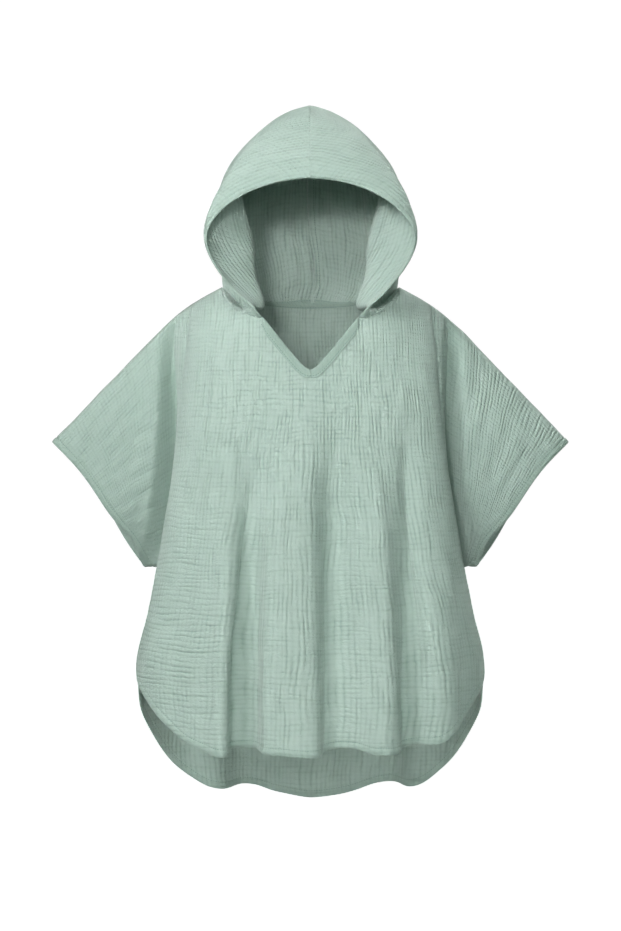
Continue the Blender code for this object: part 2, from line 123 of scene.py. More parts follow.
HOOD = (
    (66, -77, -21, 63, 53, 90, 73, 70, 3, 5),
    (80, -75, -8, 77, 60, 94, 74, 73, 15, 14),
    (104, -81, 21, 101, 66, 95, 77, 82, 48, 11),
    (116, -84, 50, 114, 73, 98, 80, 90, 80, 14),
    (111, -85, 71, 113, 82, 99, 80, 95, 110, 26),
    (93, -86, 91, 102, 86, 83, 70, 96, 137, 42),
    (64, -86, 108, 76, 69, 53, 45, 94, 158, 56),
    (32, -86, 118, 41, 36, 26, 23, 91, 172, 61),
    (0, -86, 122, 0, 0, 0, 0, 89, 178, 64),
)
HOOD_STATIONS = (0.0, 0.12, 0.27, 0.50, 0.80, 1.0)
HOOD_DEPTH_SHARES = (0.0, 0.09, 0.24, 0.50, 0.85, 1.0)

# How finely each panel is sampled, and how far apart two panels are at a seam
V_COLUMNS, NECK_COLUMNS, SHOULDER_COLUMNS = 22, 20, 46
YOKE_ROWS, SKIRT_ROWS = 104, 74
SLEEVE_COLUMNS = 44
ARMPIT_SHARE = 0.755
HOOD_ROWS, HOOD_FIELD_COLUMNS = 84, 96
SEAM_GAP = 0.06
CURVE_SAMPLES = 200
EDGE_ROUNDS = 6  # how often the neck and shoulder line is worked out again from its own places
# A hem's rows are spaced wider on a slope, up to this many times, and take at most this share of a
# short row of the sleeve.
HEM_WIDENING, HEM_SHARE = 1.9, 0.7

# The turned hem, as distances from its edge: the rows of the grid there, and how far the cloth's
# outer and inner faces stand from its middle surface at each. The stitches run in the dip.
HEM_PROFILE_COLUMNS = ("from_edge", "outer", "inner")
HEM_PROFILE = (
    (0.0, 0.35, 0.35),
    (0.8, 1.10, 1.10),
    (3.6, 1.30, 1.30),
    (6.4, 1.20, 1.25),
    (7.8, -0.10, 0.35),
    (9.0, 0.90, 1.20),
    (10.2, 0.65, 1.10),
    (11.2, 0.60, 0.60),
    (13.0, 0.60, 0.60),
)
HEM_STITCH = 7.8
# Where the centre seam of the hood has its own columns and rows, as distances from it. Inside, its
# allowance lies on the wearer's left half and is stitched down.
SEAM_STEPS = (0.0, 0.8, 2.6, 4.4, 5.4, 6.2, 8.6)
ALLOWANCE_WIDTH, ALLOWANCE_HEIGHT, ALLOWANCE_STITCH = 5.6, 1.8, 4.4


def column(table, names, name):
    """One named column of a table as an array."""
    return np.array([row[names.index(name)] for row in table], float)


HEM_STEPS = column(HEM_PROFILE, HEM_PROFILE_COLUMNS, "from_edge")


def spline(knots, values, at):
    """A natural cubic spline through the values, one for each knot, read at the places given."""
    knots, values, at = np.asarray(knots, float), np.asarray(values, float), np.asarray(at, float)
    if knots[0] > knots[-1]:
        knots, values = knots[::-1], values[::-1]
    n = len(knots)
    step = np.diff(knots)
    slope = np.diff(values, axis=0) / step.reshape((-1,) + (1,) * (values.ndim - 1))
    system, right = np.eye(n), np.zeros_like(values)
    for i in range(1, n - 1):
        system[i, i - 1 : i + 2] = step[i - 1], 2 * (step[i - 1] + step[i]), step[i]
        right[i] = 6 * (slope[i] - slope[i - 1])
    bend = np.linalg.solve(system, right.reshape(n, -1)).reshape(values.shape)
    i = np.clip(np.searchsorted(knots, at) - 1, 0, n - 2)
    shape = at.shape + (1,) * (values.ndim - 1)
    h, a, b = (x.reshape(shape) for x in (step[i], at - knots[i], knots[i + 1] - at))
    curved = (bend[i] * b**3 + bend[i + 1] * a**3) / (6 * h)
    before, after = values[i] / h - bend[i] * h / 6, values[i + 1] / h - bend[i + 1] * h / 6
    return curved + before * b + after * a


def smooth(t):
    """0 to 1 with no slope at either end."""
    t = np.clip(t, 0, 1)
    return t * t * (3 - 2 * t)


def unit(vectors):
    """The vectors at length 1."""
    return vectors / np.maximum(np.linalg.norm(vectors, axis=-1, keepdims=True), 1e-9)


def ridge_z(x):
    """Height of the shoulder and sleeve seam: two slopes with a soft bend between them."""
    x = np.abs(x)
    shoulder = NECK_POINT[1] - SHOULDER_SLOPE * (x - NECK_POINT[0])
    sleeve = SLEEVE_TIP[2] - SLEEVE_SLOPE * (x - SLEEVE_TIP[0])
    return -BEND_SOFTNESS * np.logaddexp(-shoulder / BEND_SOFTNESS, -sleeve / BEND_SOFTNESS)


def rounded(share):
    """x and y of a quarter of a superellipse, at shares of its length from the front."""
    turn = np.linspace(0, math.pi / 2, CURVE_SAMPLES)
    x, y = np.sin(turn) ** (2 / ROUNDNESS), np.cos(turn) ** (2 / ROUNDNESS)
    along = np.concatenate([[0], np.cumsum(np.hypot(np.diff(x), SECTION_FLATNESS * np.diff(y)))])
    share = np.clip(share, 0, 1) * along[-1]
    return np.interp(share, along, x), np.interp(share, along, y)


def torso_point(place, z, side):
    """The middle surface at a place across the panel, -1 to 1, and a height."""
    share, sign = np.abs(place), np.sign(place)
    row = {n: spline(column(TORSO, TORSO_COLUMNS, "z"), column(TORSO, TORSO_COLUMNS, n), z)
           for n in ("half", "seam", side, side + "_fold", side + "_seam")}
    across, out = rounded(share / FOLD_SHARE)
    x, y = row["half"] * across, row[side + "_fold"] + (row[side] - row[side + "_fold"]) * out
    inward = np.clip((share - FOLD_SHARE) / (1 - FOLD_SHARE), 0, 1)
    x = x + (row["seam"] - row["half"]) * smooth(inward)
    y = y + (row[side + "_seam"] - row[side + "_fold"]) * inward
    below = np.clip((ridge_z(x) - z) / RIDGE_REACH, 0, 1)
    y = y * (1 - (1 - below) ** 2) ** RIDGE_ROUNDNESS
    return np.stack([sign * x, -y if side == "front" else y, z], axis=-1)


def neckline_z(x, side):
    """Height of the neck edge at a distance from the centre."""
    x = np.abs(x)
    if side == "back":
        return BACK_NECK_Z + (NECK_POINT[1] - BACK_NECK_Z) * (x / NECK_POINT[0]) ** BACK_NECK_CURVE
    whole = math.hypot(V_TOP[0], V_POINT_ROUNDING) - V_POINT_ROUNDING
    rise = (np.hypot(x, V_POINT_ROUNDING) - V_POINT_ROUNDING) / whole
    along = np.clip((x - V_TOP[0]) / (NECK_POINT[0] - V_TOP[0]), 0, 1)
    arc = V_TOP[1] + (NECK_POINT[1] - V_TOP[1]) * (1 - np.sqrt(1 - along**2)) ** NECK_CORNER
    return np.where(x < V_TOP[0], V_POINT_Z + (V_TOP[1] - V_POINT_Z) * rise, arc)


def hem_z(place, side):
    """Height of the hem: level in the middle, and a rounded corner up to the vent."""
    return spline(column(HEM, HEM_COLUMNS, "place"), column(HEM, HEM_COLUMNS, side), np.abs(place))


def share_at(x):
    """The place across the panel of a distance from the centre, at the height of the shoulder."""
    shares = np.linspace(0, FOLD_SHARE, 2 * CURVE_SAMPLES)
    line = torso_point(shares, np.full(len(shares), NECK_POINT[1]), "front")
    return float(np.interp(x, line[:, 0], shares))


def grid_normals(points):
    """Unit normals of a grid of points, rows down and columns towards +X: they face -Y."""
    return unit(np.cross(np.gradient(points, axis=0), np.gradient(points, axis=1)))


def folded(points, place, side):
    """Moves the points out and in along their normals for the largest folds, and the hem with them."""
    normals = grid_normals(points) * (1 if side == "front" else -1)
    hem = hem_z(place, side)
    moved = points.copy()
    folds = FRONT_FOLDS if side == "front" else BACK_FOLDS
    for at_chest, at_hem, depth, width, top_z, lean, drop in folds:
        down = np.clip((points[..., 2] - top_z) / (hem - top_z), 0, 1)
        crest = at_chest + (at_hem - at_chest) * down
        bump = np.exp(-(np.abs((place - crest) / width) ** FOLD_EDGE)) * down**FOLD_RISE
        moved += normals * (depth * bump)[..., None]
        moved[..., 0] += lean * bump
        moved[..., 2] -= drop * bump * down**FOLD_DROP_RISE
    return moved


def torso_places():
    """Places of the grid's columns from side to side: V edge, neck seam and shoulder seam."""
    v_top, neck = share_at(V_TOP[0]), share_at(NECK_POINT[0])
    half = np.concatenate([
        np.linspace(0, v_top, V_COLUMNS + 1),
        np.linspace(v_top, neck, NECK_COLUMNS + 1)[1:],
        np.linspace(neck, 1, SHOULDER_COLUMNS + 1)[1:],
    ])
    return np.concatenate([-half[:0:-1], half])


def torso_rows(edge, hem, places, side):
    """Heights of the grid's points: even rows to the armpit, even rows to the hem, and the hem's own."""
    armpit = edge + (hem - edge) * ARMPIT_SHARE
    yoke = edge + (armpit - edge) * np.linspace(0, 1, YOKE_ROWS + 1)[:, None]
    across = torso_point(places, hem, side)
    slope = np.gradient(hem) / np.hypot(*np.gradient(across[:, :2], axis=0).T)
    widening = np.minimum(np.hypot(1, slope), HEM_WIDENING)
    hem_rows = hem + HEM_STEPS[::-1, None] * widening
    skirt = armpit + (hem_rows[0] - armpit) * np.linspace(0, 1, SKIRT_ROWS + 1)[1:-1, None]
    return np.concatenate([yoke, skirt, hem_rows])


def fallen_in(depth, sink):
    """The cloth's distance from the middle plane once it has fallen in by a share of it."""
    return np.maximum(depth * (1 - sink), np.minimum(depth, ARMHOLE_ROOM))


def torso_grid(side):
    """The torso part of a panel, rows from the neck and shoulder down to the hem."""
    places = torso_places()
    edge = np.full(len(places), NECK_POINT[1])
    at_neck = np.abs(places) < share_at(NECK_POINT[0]) + 1e-6
    for _ in range(EDGE_ROUNDS):
        x = torso_point(places, edge, side)[:, 0]
        edge = np.where(at_neck, neckline_z(x, side), ridge_z(x))
    z = torso_rows(edge, hem_z(places, side), places, side)
    place = np.broadcast_to(places, z.shape)
    grid = folded(torso_point(place, z, side), place, side)
    sink = ARMHOLE_SINK * smooth((np.abs(place) - ARMHOLE_EDGE) / (1 - ARMHOLE_EDGE))
    grid[..., 1] = np.sign(grid[..., 1]) * fallen_in(np.abs(grid[..., 1]), sink)
    return grid


def sleeve_grid(torso, side, sign):
    """The sleeve part of a panel, and its points' shares of the way from the armhole to the cuff."""
    start = torso[: YOKE_ROWS + 1, -1 if sign > 0 else 0]
    out = -1 if side == "front" else 1
    down = np.linspace(0, 1, YOKE_ROWS + 1)
    tip, cuff_foot = np.array(SLEEVE_TIP) * (sign, 1, 1), np.array(CUFF_FOOT) * (sign, 1, 1)
    length = np.linalg.norm(tip + (cuff_foot - tip) * down[:, None] - start, axis=1)[:, None]
    from_edge = HEM_STEPS[::-1]
    hem = 1 - from_edge / length * np.minimum(1, HEM_SHARE * length / from_edge[0])
    along = np.concatenate([hem[:, :1] * np.linspace(0, 1, SLEEVE_COLUMNS + 1)[1:-1], hem], axis=1)
    top_x = abs(start[0, 0]) + (SLEEVE_TIP[0] - abs(start[0, 0])) * along
    top = np.stack([sign * top_x, SLEEVE_TIP[1] * along, ridge_z(top_x)], axis=-1)
    foot = start[-1] + (cuff_foot - start[-1]) * along[..., None]
    plain = top + (foot - top) * down[:, None, None]
    lens = (4 * down * (1 - down)) ** SLEEVE_SECTION
    sink = ARMHOLE_SINK * (1 - smooth(along * length / ARMHOLE_REACH))
    plain[..., 1] += out * fallen_in(lens[:, None] * (SLEEVE_DEPTH - SLEEVE_TAPER * along), sink)
    slope = unit(np.array([sign * (SLEEVE_TIP[0] - NECK_POINT[0]), 0, SLEEVE_TIP[2] - NECK_POINT[1]]))
    bow = CUFF_BOW * np.sin(CUFF_BOW_TURN * math.pi * down)
    if side == "front":
        bow = bow + FRONT_CUFF_RISE * np.sin(math.pi * down**CUFF_RISE_PLACE) ** 2
    plain -= (bow[:, None] * along**3)[..., None] * slope
    first = start[0] + (start[-1] - start[0]) * down[:, None]
    first[:, 1] += out * fallen_in(lens * SLEEVE_DEPTH, ARMHOLE_SINK)
    fading = (1 - smooth(along / SLEEVE_BLEND))[..., None]
    sleeve = plain + (start - first)[:, None] * fading
    shares = np.concatenate([np.zeros((len(along), 1)), along], axis=1)
    return np.concatenate([start[:, None], sleeve], axis=1), shares


def hood_level(row, shares):
    """Points of one level of the hood at shares of the way from its rim to its back."""
    r = dict(zip(HOOD_COLUMNS, row))
    x = (r["rim_x"], r["near"], r["pinch"], r["side"], r["rear"], 0)
    y = r["rim_y"] + (r["back_y"] - r["rim_y"]) * np.array(HOOD_DEPTH_SHARES)
    points = spline(HOOD_STATIONS, np.stack([x, y], axis=-1), shares)
    z = r["rim_z"] + (r["back_z"] - r["rim_z"]) * shares + r["arch"] * np.sin(math.pi * shares)
    return np.column_stack([points, z])


def hood_places(line):
    """Shares of a line's length: the turned hem's columns, an even field, and the seam's columns."""
    length = arc(line, 0)[-1]
    hem = HEM_STEPS / length
    seam = 1 - np.array(SEAM_STEPS)[::-1] / length
    return np.concatenate([hem, np.linspace(hem[-1], seam[0], HOOD_FIELD_COLUMNS + 1)[1:-1], seam])


def hood_grid(neck_front, neck_back):
    """The wearer's left half of the hood, rows from the neck seam up, columns from rim to back."""
    neck = np.concatenate([neck_front, neck_back[1:]])
    levels = [resampled(neck, hood_places(neck))]
    for row in HOOD:
        line = hood_level(row, np.linspace(0, 1, CURVE_SAMPLES))
        levels.append(hood_level(row, hood_places(line)))
    levels = np.array(levels)
    levels[1:, -1, 0] = 0
    levels[-1, :, 0] = 0
    rises = np.linalg.norm(np.diff(levels, axis=0), axis=2).mean(axis=1)
    heights = np.concatenate([[0], np.cumsum(rises)])
    seam = 1 - np.array(SEAM_STEPS)[::-1] / heights[-1]
    shares = np.concatenate([np.linspace(0, seam[0], HOOD_ROWS + 1)[:-1], seam])
    rows = spline(heights / heights[-1], levels, shares)
    rows[1:, -1, 0] = 0
    rows[-1, :, 0] = 0
    return rows


def arc(points, axis):
    """Distance along each line of a grid from its first point."""
    steps = np.linalg.norm(np.diff(points, axis=axis), axis=-1)
    start = np.zeros_like(np.take(steps, [0], axis=axis))
    return np.concatenate([start, np.cumsum(steps, axis=axis)], axis=axis)


def read(line, along, at):
    """Points of a line at the given distances, where along is each of its own points' distance."""
    return np.stack([np.interp(at, along, line[:, k]) for k in range(3)], axis=-1)


def resampled(line, shares):
    """Points of a line at shares of its length."""
    return read(line, arc(line, 0) / arc(line, 0)[-1], shares)


# ---------------------------------------------------------------- creases and crinkles

# Creases, each a soft trough, or a ridge where its depth is negative. Columns: x0, z0, x1, z1,
# bow, width and depth. x and z are its two ends as seen from the front; bow bends its middle sideways;
# width is half of its own.
FRONT_DRAPES = (
    (-66, -150, -79, -680, 0, 14.0, 20.0),
    (-94, -190, -106, -680, 0, 9.0, -5.0),
    (-30, -110, -34, -680, 0, 24.0, -7.0),
    (24, -130, 32, -680, 0, 16.0, 20.0),
    (78, -150, 84, -680, 0, 15.0, -6.0),
    (106, -120, 118, -680, 0, 12.0, 14.0),
    (146, -240, 156, -680, 0, 20.0, -6.0),
    (-140, -280, -160, -600, 0, 14.0, 4.0),
)
BACK_DRAPES = (
    (-40, -60, -50, -700, 0, 20.0, -4.0),
    (0, -60, 0, -700, 0, 20.0, 5.0),
    (44, -60, 56, -700, 0, 20.0, -4.0),
    (-100, -120, -114, -700, 0, 14.0, 6.0),
    (104, -120, 124, -700, 0, 14.0, 6.0),
)
FRONT_CREASES = (
    (4, -118, 9, -354, 2, 4.5, 2.3),
    (10, -330, 18, -480, -2, 5.0, 1.3),
    (-6, -104, -10, -300, -2, 9.0, -1.2),
    (-96, -118, -76, -308, 4, 5.5, 2.2),
    (-78, -200, -66, -330, -3, 5.0, 1.1),
    (-88, -290, -84, -420, -2, 6.0, -1.6),
    (105, -150, 114, -343, -3, 8.0, 3.0),
    (113, -320, 108, -500, 3, 8.0, 2.4),
    (92, -190, 98, -380, 2, 6.0, -1.5),
    (76, -230, 82, -470, -2, 4.0, 1.1),
    (-131, -48, -113, -160, 3, 4.0, 1.5),
    (-114, -42, -97, -168, 3, 4.5, 1.3),
    (-142, -92, -126, -240, -3, 5.0, 1.3),
    (-98, -40, -86, -120, 2, 4.0, 0.9),
    (96, -42, 124, -150, -3, 5.0, 1.4),
    (112, -50, 140, -176, -3, 5.0, 1.2),
    (78, -62, 96, -150, -2, 4.0, 0.9),
    (-62, -98, -8, -118, 3, 4.0, 0.8),
    (-66, -116, -22, -131, 2, 4.0, 0.8),
    (-120, -226, -72, -240, 4, 4.0, 0.9),
    (-165, -300, -112, -316, -4, 5.0, 1.3),
    (-172, -330, -120, -345, -4, 5.0, 1.2),
    (-178, -372, -118, -380, -5, 5.5, 1.4),
    (-180, -402, -112, -412, -4, 5.0, 1.2),
    (-168, -438, -106, -446, -4, 5.0, 1.1),
    (-140, -470, -92, -478, -3, 5.0, 1.0),
    (138, -250, 168, -330, 4, 7.0, 1.4),
    (150, -350, 178, -440, 4, 8.0, 1.6),
    (36, -250, 40, -500, 3, 5.0, 1.0),
    (54, -300, 58, -508, -3, 5.0, -0.9),
    (-30, -300, -34, -508, -3, 6.0, 0.8),
    (-50, -380, -48, -512, 2, 5.0, -0.8),
)
BACK_CREASES = (
    (0, -40, 3, -300, 3, 7.0, 1.6),
    (-26, -30, -34, -230, -3, 6.0, 1.2),
    (30, -30, 40, -250, 3, 6.0, -1.1),
    (-70, -34, -92, -250, -4, 6.0, 1.7),
    (72, -34, 96, -270, 4, 6.5, 1.7),
    (-110, -60, -130, -300, -3, 6.0, 1.3),
    (112, -70, 134, -280, 3, 6.0, 1.3),
    (-52, -260, -58, -520, 3, 6.0, 1.5),
    (58, -280, 66, -540, -3, 6.0, 1.5),
    (12, -320, 20, -560, 3, 6.0, -1.2),
    (-100, -330, -116, -520, -3, 7.0, 1.6),
    (112, -330, 124, -500, 3, 7.0, 1.6),
    (-150, -320, -172, -430, -3, 7.0, 1.2),
    (148, -330, 172, -440, 3, 7.0, 1.3),
    (-168, -352, -110, -368, 4, 5.0, 1.1),
    (170, -360, 116, -378, 4, 5.0, 1.1),
    (-60, -96, 10, -112, 3, 5.0, 0.8),
    (-20, -410, 44, -420, 3, 5.0, 0.8),
)
RIGHT_SLEEVE_CREASES = (
    (-262, -166, -180, -92, 3, 5.0, 1.2),
    (-262, -192, -172, -118, 3, 5.5, 1.3),
    (-256, -212, -168, -148, 3, 5.5, 1.5),
    (-246, -226, -166, -174, 3, 5.0, 1.6),
    (-238, -240, -166, -198, 3, 5.0, 1.7),
    (-228, -252, -166, -220, 2, 4.5, 1.7),
    (-218, -266, -168, -242, 2, 4.5, 1.6),
    (-208, -280, -172, -264, 2, 4.0, 1.4),
)
LEFT_SLEEVE_CREASES = (
    (176, -252, 214, -120, 6, 6.0, 1.8),
    (186, -268, 234, -150, 6, 5.5, 1.5),
    (198, -280, 252, -176, 5, 5.5, 1.3),
    (170, -206, 196, -90, 5, 6.0, 1.5),
    (206, -236, 244, -160, -4, 5.0, -1.1),
    (186, -170, 200, -116, 3, 6.0, -1.2),
)
# On the hood, x is the distance from the seam down its back and z the height over the neck seam.
HOOD_CREASES = (
    (-76, 40, -60, 210, 4, 8.0, 4.0),
    (-56, 20, -44, 220, 3, 9.0, -6.0),
    (-32, 40, -27, 200, -3, 7.0, 3.5),
    (-14, 70, -13, 240, 2, 6.0, -2.5),
    (16, 40, 22, 240, -3, 8.0, -5.0),
    (36, 20, 34, 190, 3, 8.0, 4.5),
    (55, 16, 62, 230, -4, 9.5, -6.5),
    (76, 40, 80, 210, 3, 6.0, 4.5),
    (-120, 70, -104, 200, 6, 8.0, 1.5),
    (118, 60, 106, 200, -6, 8.0, 1.5),
    (-6, 6, -5, 130, 1, 2.8, 4.4),
    (11, 10, 10, 110, -1, 2.8, 3.8),
    (-20, 10, -17, 90, 2, 4.0, 2.6),
    (24, 10, 26, 70, 2, 3.5, 2.2),
)

# Gathers at the hood's neck seam, short troughs that run up from it. Columns: along, height, width,
# depth and lean. along is a share of the seam from the rim to the back; lean is how far its top leans
# towards the back.
GATHERS = (
    (0.100, 14, 2.4, 1.2, -4),
    (0.150, 18, 2.4, 1.6, -5),
    (0.195, 24, 2.2, 2.4, -5),
    (0.235, 28, 2.1, 2.9, -4),
    (0.272, 30, 2.0, 3.0, -3),
    (0.310, 30, 2.0, 2.9, -2),
    (0.348, 27, 2.1, 2.5, 0),
    (0.390, 22, 2.4, 1.8, 1),
    (0.470, 18, 3.4, 1.3, 0),
    (0.560, 22, 3.6, 1.3, 2),
    (0.640, 16, 3.0, 1.2, 1),
    (0.700, 20, 3.4, 1.4, 1),
    (0.780, 16, 3.0, 1.2, 2),
    (0.860, 22, 3.6, 1.4, 2),
    (0.930, 16, 3.0, 1.1, 0),
)
GATHER_DEPTHS = {1: 1.6, -1: 1.5}  # times the depth, on the wearer's left and right half
# The inner edge of each side of the hood, where it flares out to the rim, sags at its foot.
FLARE_SAG, FLARE_PLACE, FLARE_REACH = 15.0, 0.24, 0.14
FLARE_FOOT, FLARE_FADE = 32.0, 48.0
# The hood's centre seam drifts from side to side by this much, within a reach of it.
SEAM_SWAY, SWAY_REACH, SWAY_WAVE = 4.0, 30, 30

KNOTS = (97, 89)
CRINKLE_WIDTH, WARP_RUN, WEFT_RUN = 6.5, 44, 40
WARP_DEPTH, WEFT_DEPTH, SLACK_DEPTH = 0.17, 0.15, 0.8
SEEDS = {"front": 11, "back": 31, "sleeve": 51, "hood": 71}


def noise(u, v, seed):
    """Smooth random values from -1 to 1 over a plane, one knot for each whole number."""
    knots = np.random.default_rng(seed).uniform(-1, 1, KNOTS)
    i, j = np.floor(u).astype(int), np.floor(v).astype(int)
    a, b = smooth(u - i), smooth(v - j)

    def at(p, q):
        return knots[p % KNOTS[0], q % KNOTS[1]]

    low = at(i, j) * (1 - a) + at(i + 1, j) * a
    high = at(i, j + 1) * (1 - a) + at(i + 1, j + 1) * a
    return low * (1 - b) + high * b


def creased(x, z, creases):
    """How far the cloth is pushed in by a table of creases."""
    total = np.zeros_like(x)
    for x0, z0, x1, z1, bow, width, depth in creases:
        dx, dz = x1 - x0, z1 - z0
        length = math.hypot(dx, dz)
        along = ((x - x0) * dx + (z - z0) * dz) / length**2
        off = ((z - z0) * dx - (x - x0) * dz) / length - bow * np.sin(math.pi * np.clip(along, 0, 1))
        taper = smooth(along / 0.3) * smooth((1 - along) / 0.3)
        total += depth * taper * np.exp(-((off / width) ** 2))
    return total


def crinkled(u, v, warp, weft, seed):
    """Soft uneven crinkles of the whole cloth: streaks along its two threads, and broad slack."""
    wander = 4 * noise(u / 37, v / 61, seed)
    lengthwise = noise((u + wander) / CRINKLE_WIDTH, v / WARP_RUN, seed + 1)
    crosswise = noise(u / WEFT_RUN, (v + wander) / CRINKLE_WIDTH, seed + 2)
    slack = noise(u / 34, v / 80, seed + 3) + 0.6 * noise(u / 19, v / 46, seed + 4)
    return WARP_DEPTH * warp * lengthwise + WEFT_DEPTH * weft * crosswise + SLACK_DEPTH * slack


# ---------------------------------------------------------------- the panels as meshes

CLOTH_HALF = 0.6
WELDS_PER_MM = 50
POINT_DATA = ("u", "v", "warp", "weft", "push", "outer", "inner")
DATA_V, DATA_PUSH, DATA_INNER = (POINT_DATA.index(name) for name in ("v", "push", "inner"))


def hem_offsets(from_edge):
    """How far the outer and inner faces stand off the middle surface at distances from a hem's edge."""
    faces = [column(HEM_PROFILE, HEM_PROFILE_COLUMNS, name) for name in ("outer", "inner")]
    return [np.interp(from_edge, HEM_STEPS, face) for face in faces]


def grid_quads(rows, columns, turned=False):
    """The faces of a grid of points."""
    at = np.arange(rows * columns).reshape(rows, columns)
    quads = np.stack([at[:-1, :-1], at[1:, :-1], at[1:, 1:], at[:-1, 1:]], axis=-1).reshape(-1, 4)
    return quads[:, ::-1] if turned else quads


class Block:
    """A grid of points of one panel, with what each point needs: its place in the flat cut, how
    strongly the cloth crinkles along each thread, how far it is pushed in, and how far its two faces
    stand off."""

    def __init__(self, points, turned, cut, warp, weft, push, outer, inner):
        self.points, self.turned = points, turned
        data = np.stack([*cut, warp, weft, push, outer, inner], axis=-1)
        self.data = data.reshape(-1, len(POINT_DATA))

    def faces(self):
        return grid_quads(*self.points.shape[:2], self.turned)


class Panel:
    """One piece's share of the sewn garment, with its middle surface, normals and faces."""

    def __init__(self, name, faces, points, normals, sewn):
        self.name, self.faces, self.points, self.normals, self.sewn = name, faces, points, normals, sewn
        self.data = np.zeros((len(points), len(POINT_DATA)))


def sew(pieces):
    """Welds every block of every piece, creases the cloth, and gives each piece its own surface."""
    blocks = [(name, b) for name, bs in pieces.items() for b in bs]
    points = np.concatenate([b.points.reshape(-1, 3) for _, b in blocks])
    data = np.concatenate([b.data for _, b in blocks])
    keys = np.round(points * WELDS_PER_MM).astype(np.int64)
    _, first, welded = np.unique(keys, axis=0, return_index=True, return_inverse=True)
    welded = welded.ravel()
    base = points[first]
    count = np.bincount(welded)
    push = np.bincount(welded, data[:, DATA_PUSH]) / count
    faces, starts = {}, 0
    for name, b in blocks:
        faces.setdefault(name, []).append(welded[b.faces() + starts])
        starts += len(b.data)
    faces = {name: np.concatenate(quads) for name, quads in faces.items()}
    every = np.concatenate(list(faces.values()))
    base = base - vertex_normals(base, every) * push[:, None]
    normals = vertex_normals(base, every)
    owners = sum((np.bincount(q.ravel(), minlength=len(base)) > 0).astype(int) for q in faces.values())
    made = {}
    for name, quads in faces.items():
        used, local = np.unique(quads, return_inverse=True)
        panel = Panel(name, local.reshape(-1, 4), base[used].copy(), normals[used], owners[used] > 1)
        starts = 0
        for owner, b in blocks:
            if owner == name:
                own = np.searchsorted(used, welded[starts : starts + len(b.data)])
                panel.data[own] = b.data
                b.own = own.reshape(b.points.shape[:2])
            starts += len(b.data)
        pull_back(panel)
        made[name] = panel
    return made


def vertex_normals(points, quads):
    """Unit normals at the points, each face counted by its area."""
    a, b, c, d = (points[quads[:, k]] for k in range(4))
    face = np.cross(c - a, d - b)
    total = np.zeros_like(points)
    for k in range(4):
        np.add.at(total, quads[:, k], face)
    return unit(total)


def open_edges(quads):
    """The edges that only one face has, in that face's direction."""
    edges = np.concatenate([np.stack([quads[:, k - 1], quads[:, k]], axis=-1) for k in range(4)])
    size = int(quads.max()) + 1
    codes = edges[:, 0] * size + edges[:, 1]
    return edges[~np.isin(codes, edges[:, 1] * size + edges[:, 0])]


def pull_back(panel):
    """Moves a panel's sewn edges half a seam gap away from the next panel's."""
    inward = np.zeros_like(panel.points)
    centres = panel.points[panel.faces].mean(axis=1)
    for k in range(4):
        np.add.at(inward, panel.faces[:, k], centres)
    times = np.bincount(panel.faces.ravel(), minlength=len(panel.points))
    inward = inward / times[:, None] - panel.points
    inward -= panel.normals * (inward * panel.normals).sum(axis=1, keepdims=True)
    edge = np.zeros(len(panel.points), bool)
    edge[open_edges(panel.faces).ravel()] = True
    moved = edge & panel.sewn
    panel.points[moved] += unit(inward[moved]) * SEAM_GAP / 2


def shell(name, points, normals, faces, outer, inner, cut, runs, material):
    """A closed shell round a middle surface, with the cut's places as its UV map."""
    count = len(points)
    outside, inside = points + normals * outer[:, None], points - normals * inner[:, None]
    vertices = np.concatenate([outside, inside]) * MM
    rims = open_edges(faces)
    rim_quads = np.column_stack([rims[:, 1], rims[:, 0], rims[:, 0] + count, rims[:, 1] + count])
    polygons = np.concatenate([faces, faces[:, ::-1] + count, rim_quads])
    mesh = bpy.data.meshes.new(name)
    mesh.vertices.add(len(vertices))
    mesh.vertices.foreach_set("co", vertices.ravel())
    mesh.loops.add(polygons.size)
    mesh.loops.foreach_set("vertex_index", polygons.ravel().astype(np.int32))
    mesh.polygons.add(len(polygons))
    mesh.polygons.foreach_set("loop_start", np.arange(0, polygons.size, 4, dtype=np.int32))
    mesh.update(calc_edges=True)
    mesh.validate()
    uv = mesh.uv_layers.new(name="cut")
    both = np.concatenate([cut, cut]) * MM
    uv.data.foreach_set("uv", both[polygons.ravel()].ravel())
    run = mesh.attributes.new("run", "FLOAT_VECTOR", "POINT")
    run.data.foreach_set("vector", np.concatenate([runs, runs]).ravel())
    mesh.shade_smooth()
    mesh.materials.append(material)
    piece = bpy.data.objects.new(name + "_cloth", mesh)
    bpy.context.scene.collection.objects.link(piece)
    return piece


def panel_shell(panel, material):
    """A panel's own shell. Its rim keeps square edges except at a hem, where the cloth is turned."""
    u, v, warp, weft, _, outer, inner = panel.data.T
    runs = np.column_stack([warp, weft, np.zeros_like(warp)])
    return shell(panel.name, panel.points, panel.normals, panel.faces, outer, inner,
                 np.column_stack([u, v]), runs, material)


# ---------------------------------------------------------------- the cloth of each panel

CUT_HALF = 245.0  # from the centre to the side seam in the flat cut
SLEEVE_CUT = 165.0  # and from there to the cuff
CHEST_Z = -217.0
COLUMN_CENTRE = V_COLUMNS + NECK_COLUMNS + SHOULDER_COLUMNS
CREASE_DEPTH = 0.7
# Soft patches where a panel's crinkles change: x and z of the middle, and the reach in x and z
FRONT_LOBE = (-150, -400, 62, 120)
FRONT_YOKE, FRONT_YOKE_WEFT = (-40, -120, 50, 40), (-40, -120, 60, 40)
FRONT_HEM = (0, -470, 200, 60)
BACK_LOBES = ((150, -400, 70, 110), (-150, -400, 60, 90))


def soft_patch(x, z, patch):
    """1 at a spot of the panel, fading to 0 round it."""
    x0, z0, rx, rz = patch
    return np.exp(-(((x - x0) / rx) ** 2) - ((z - z0) / rz) ** 2)


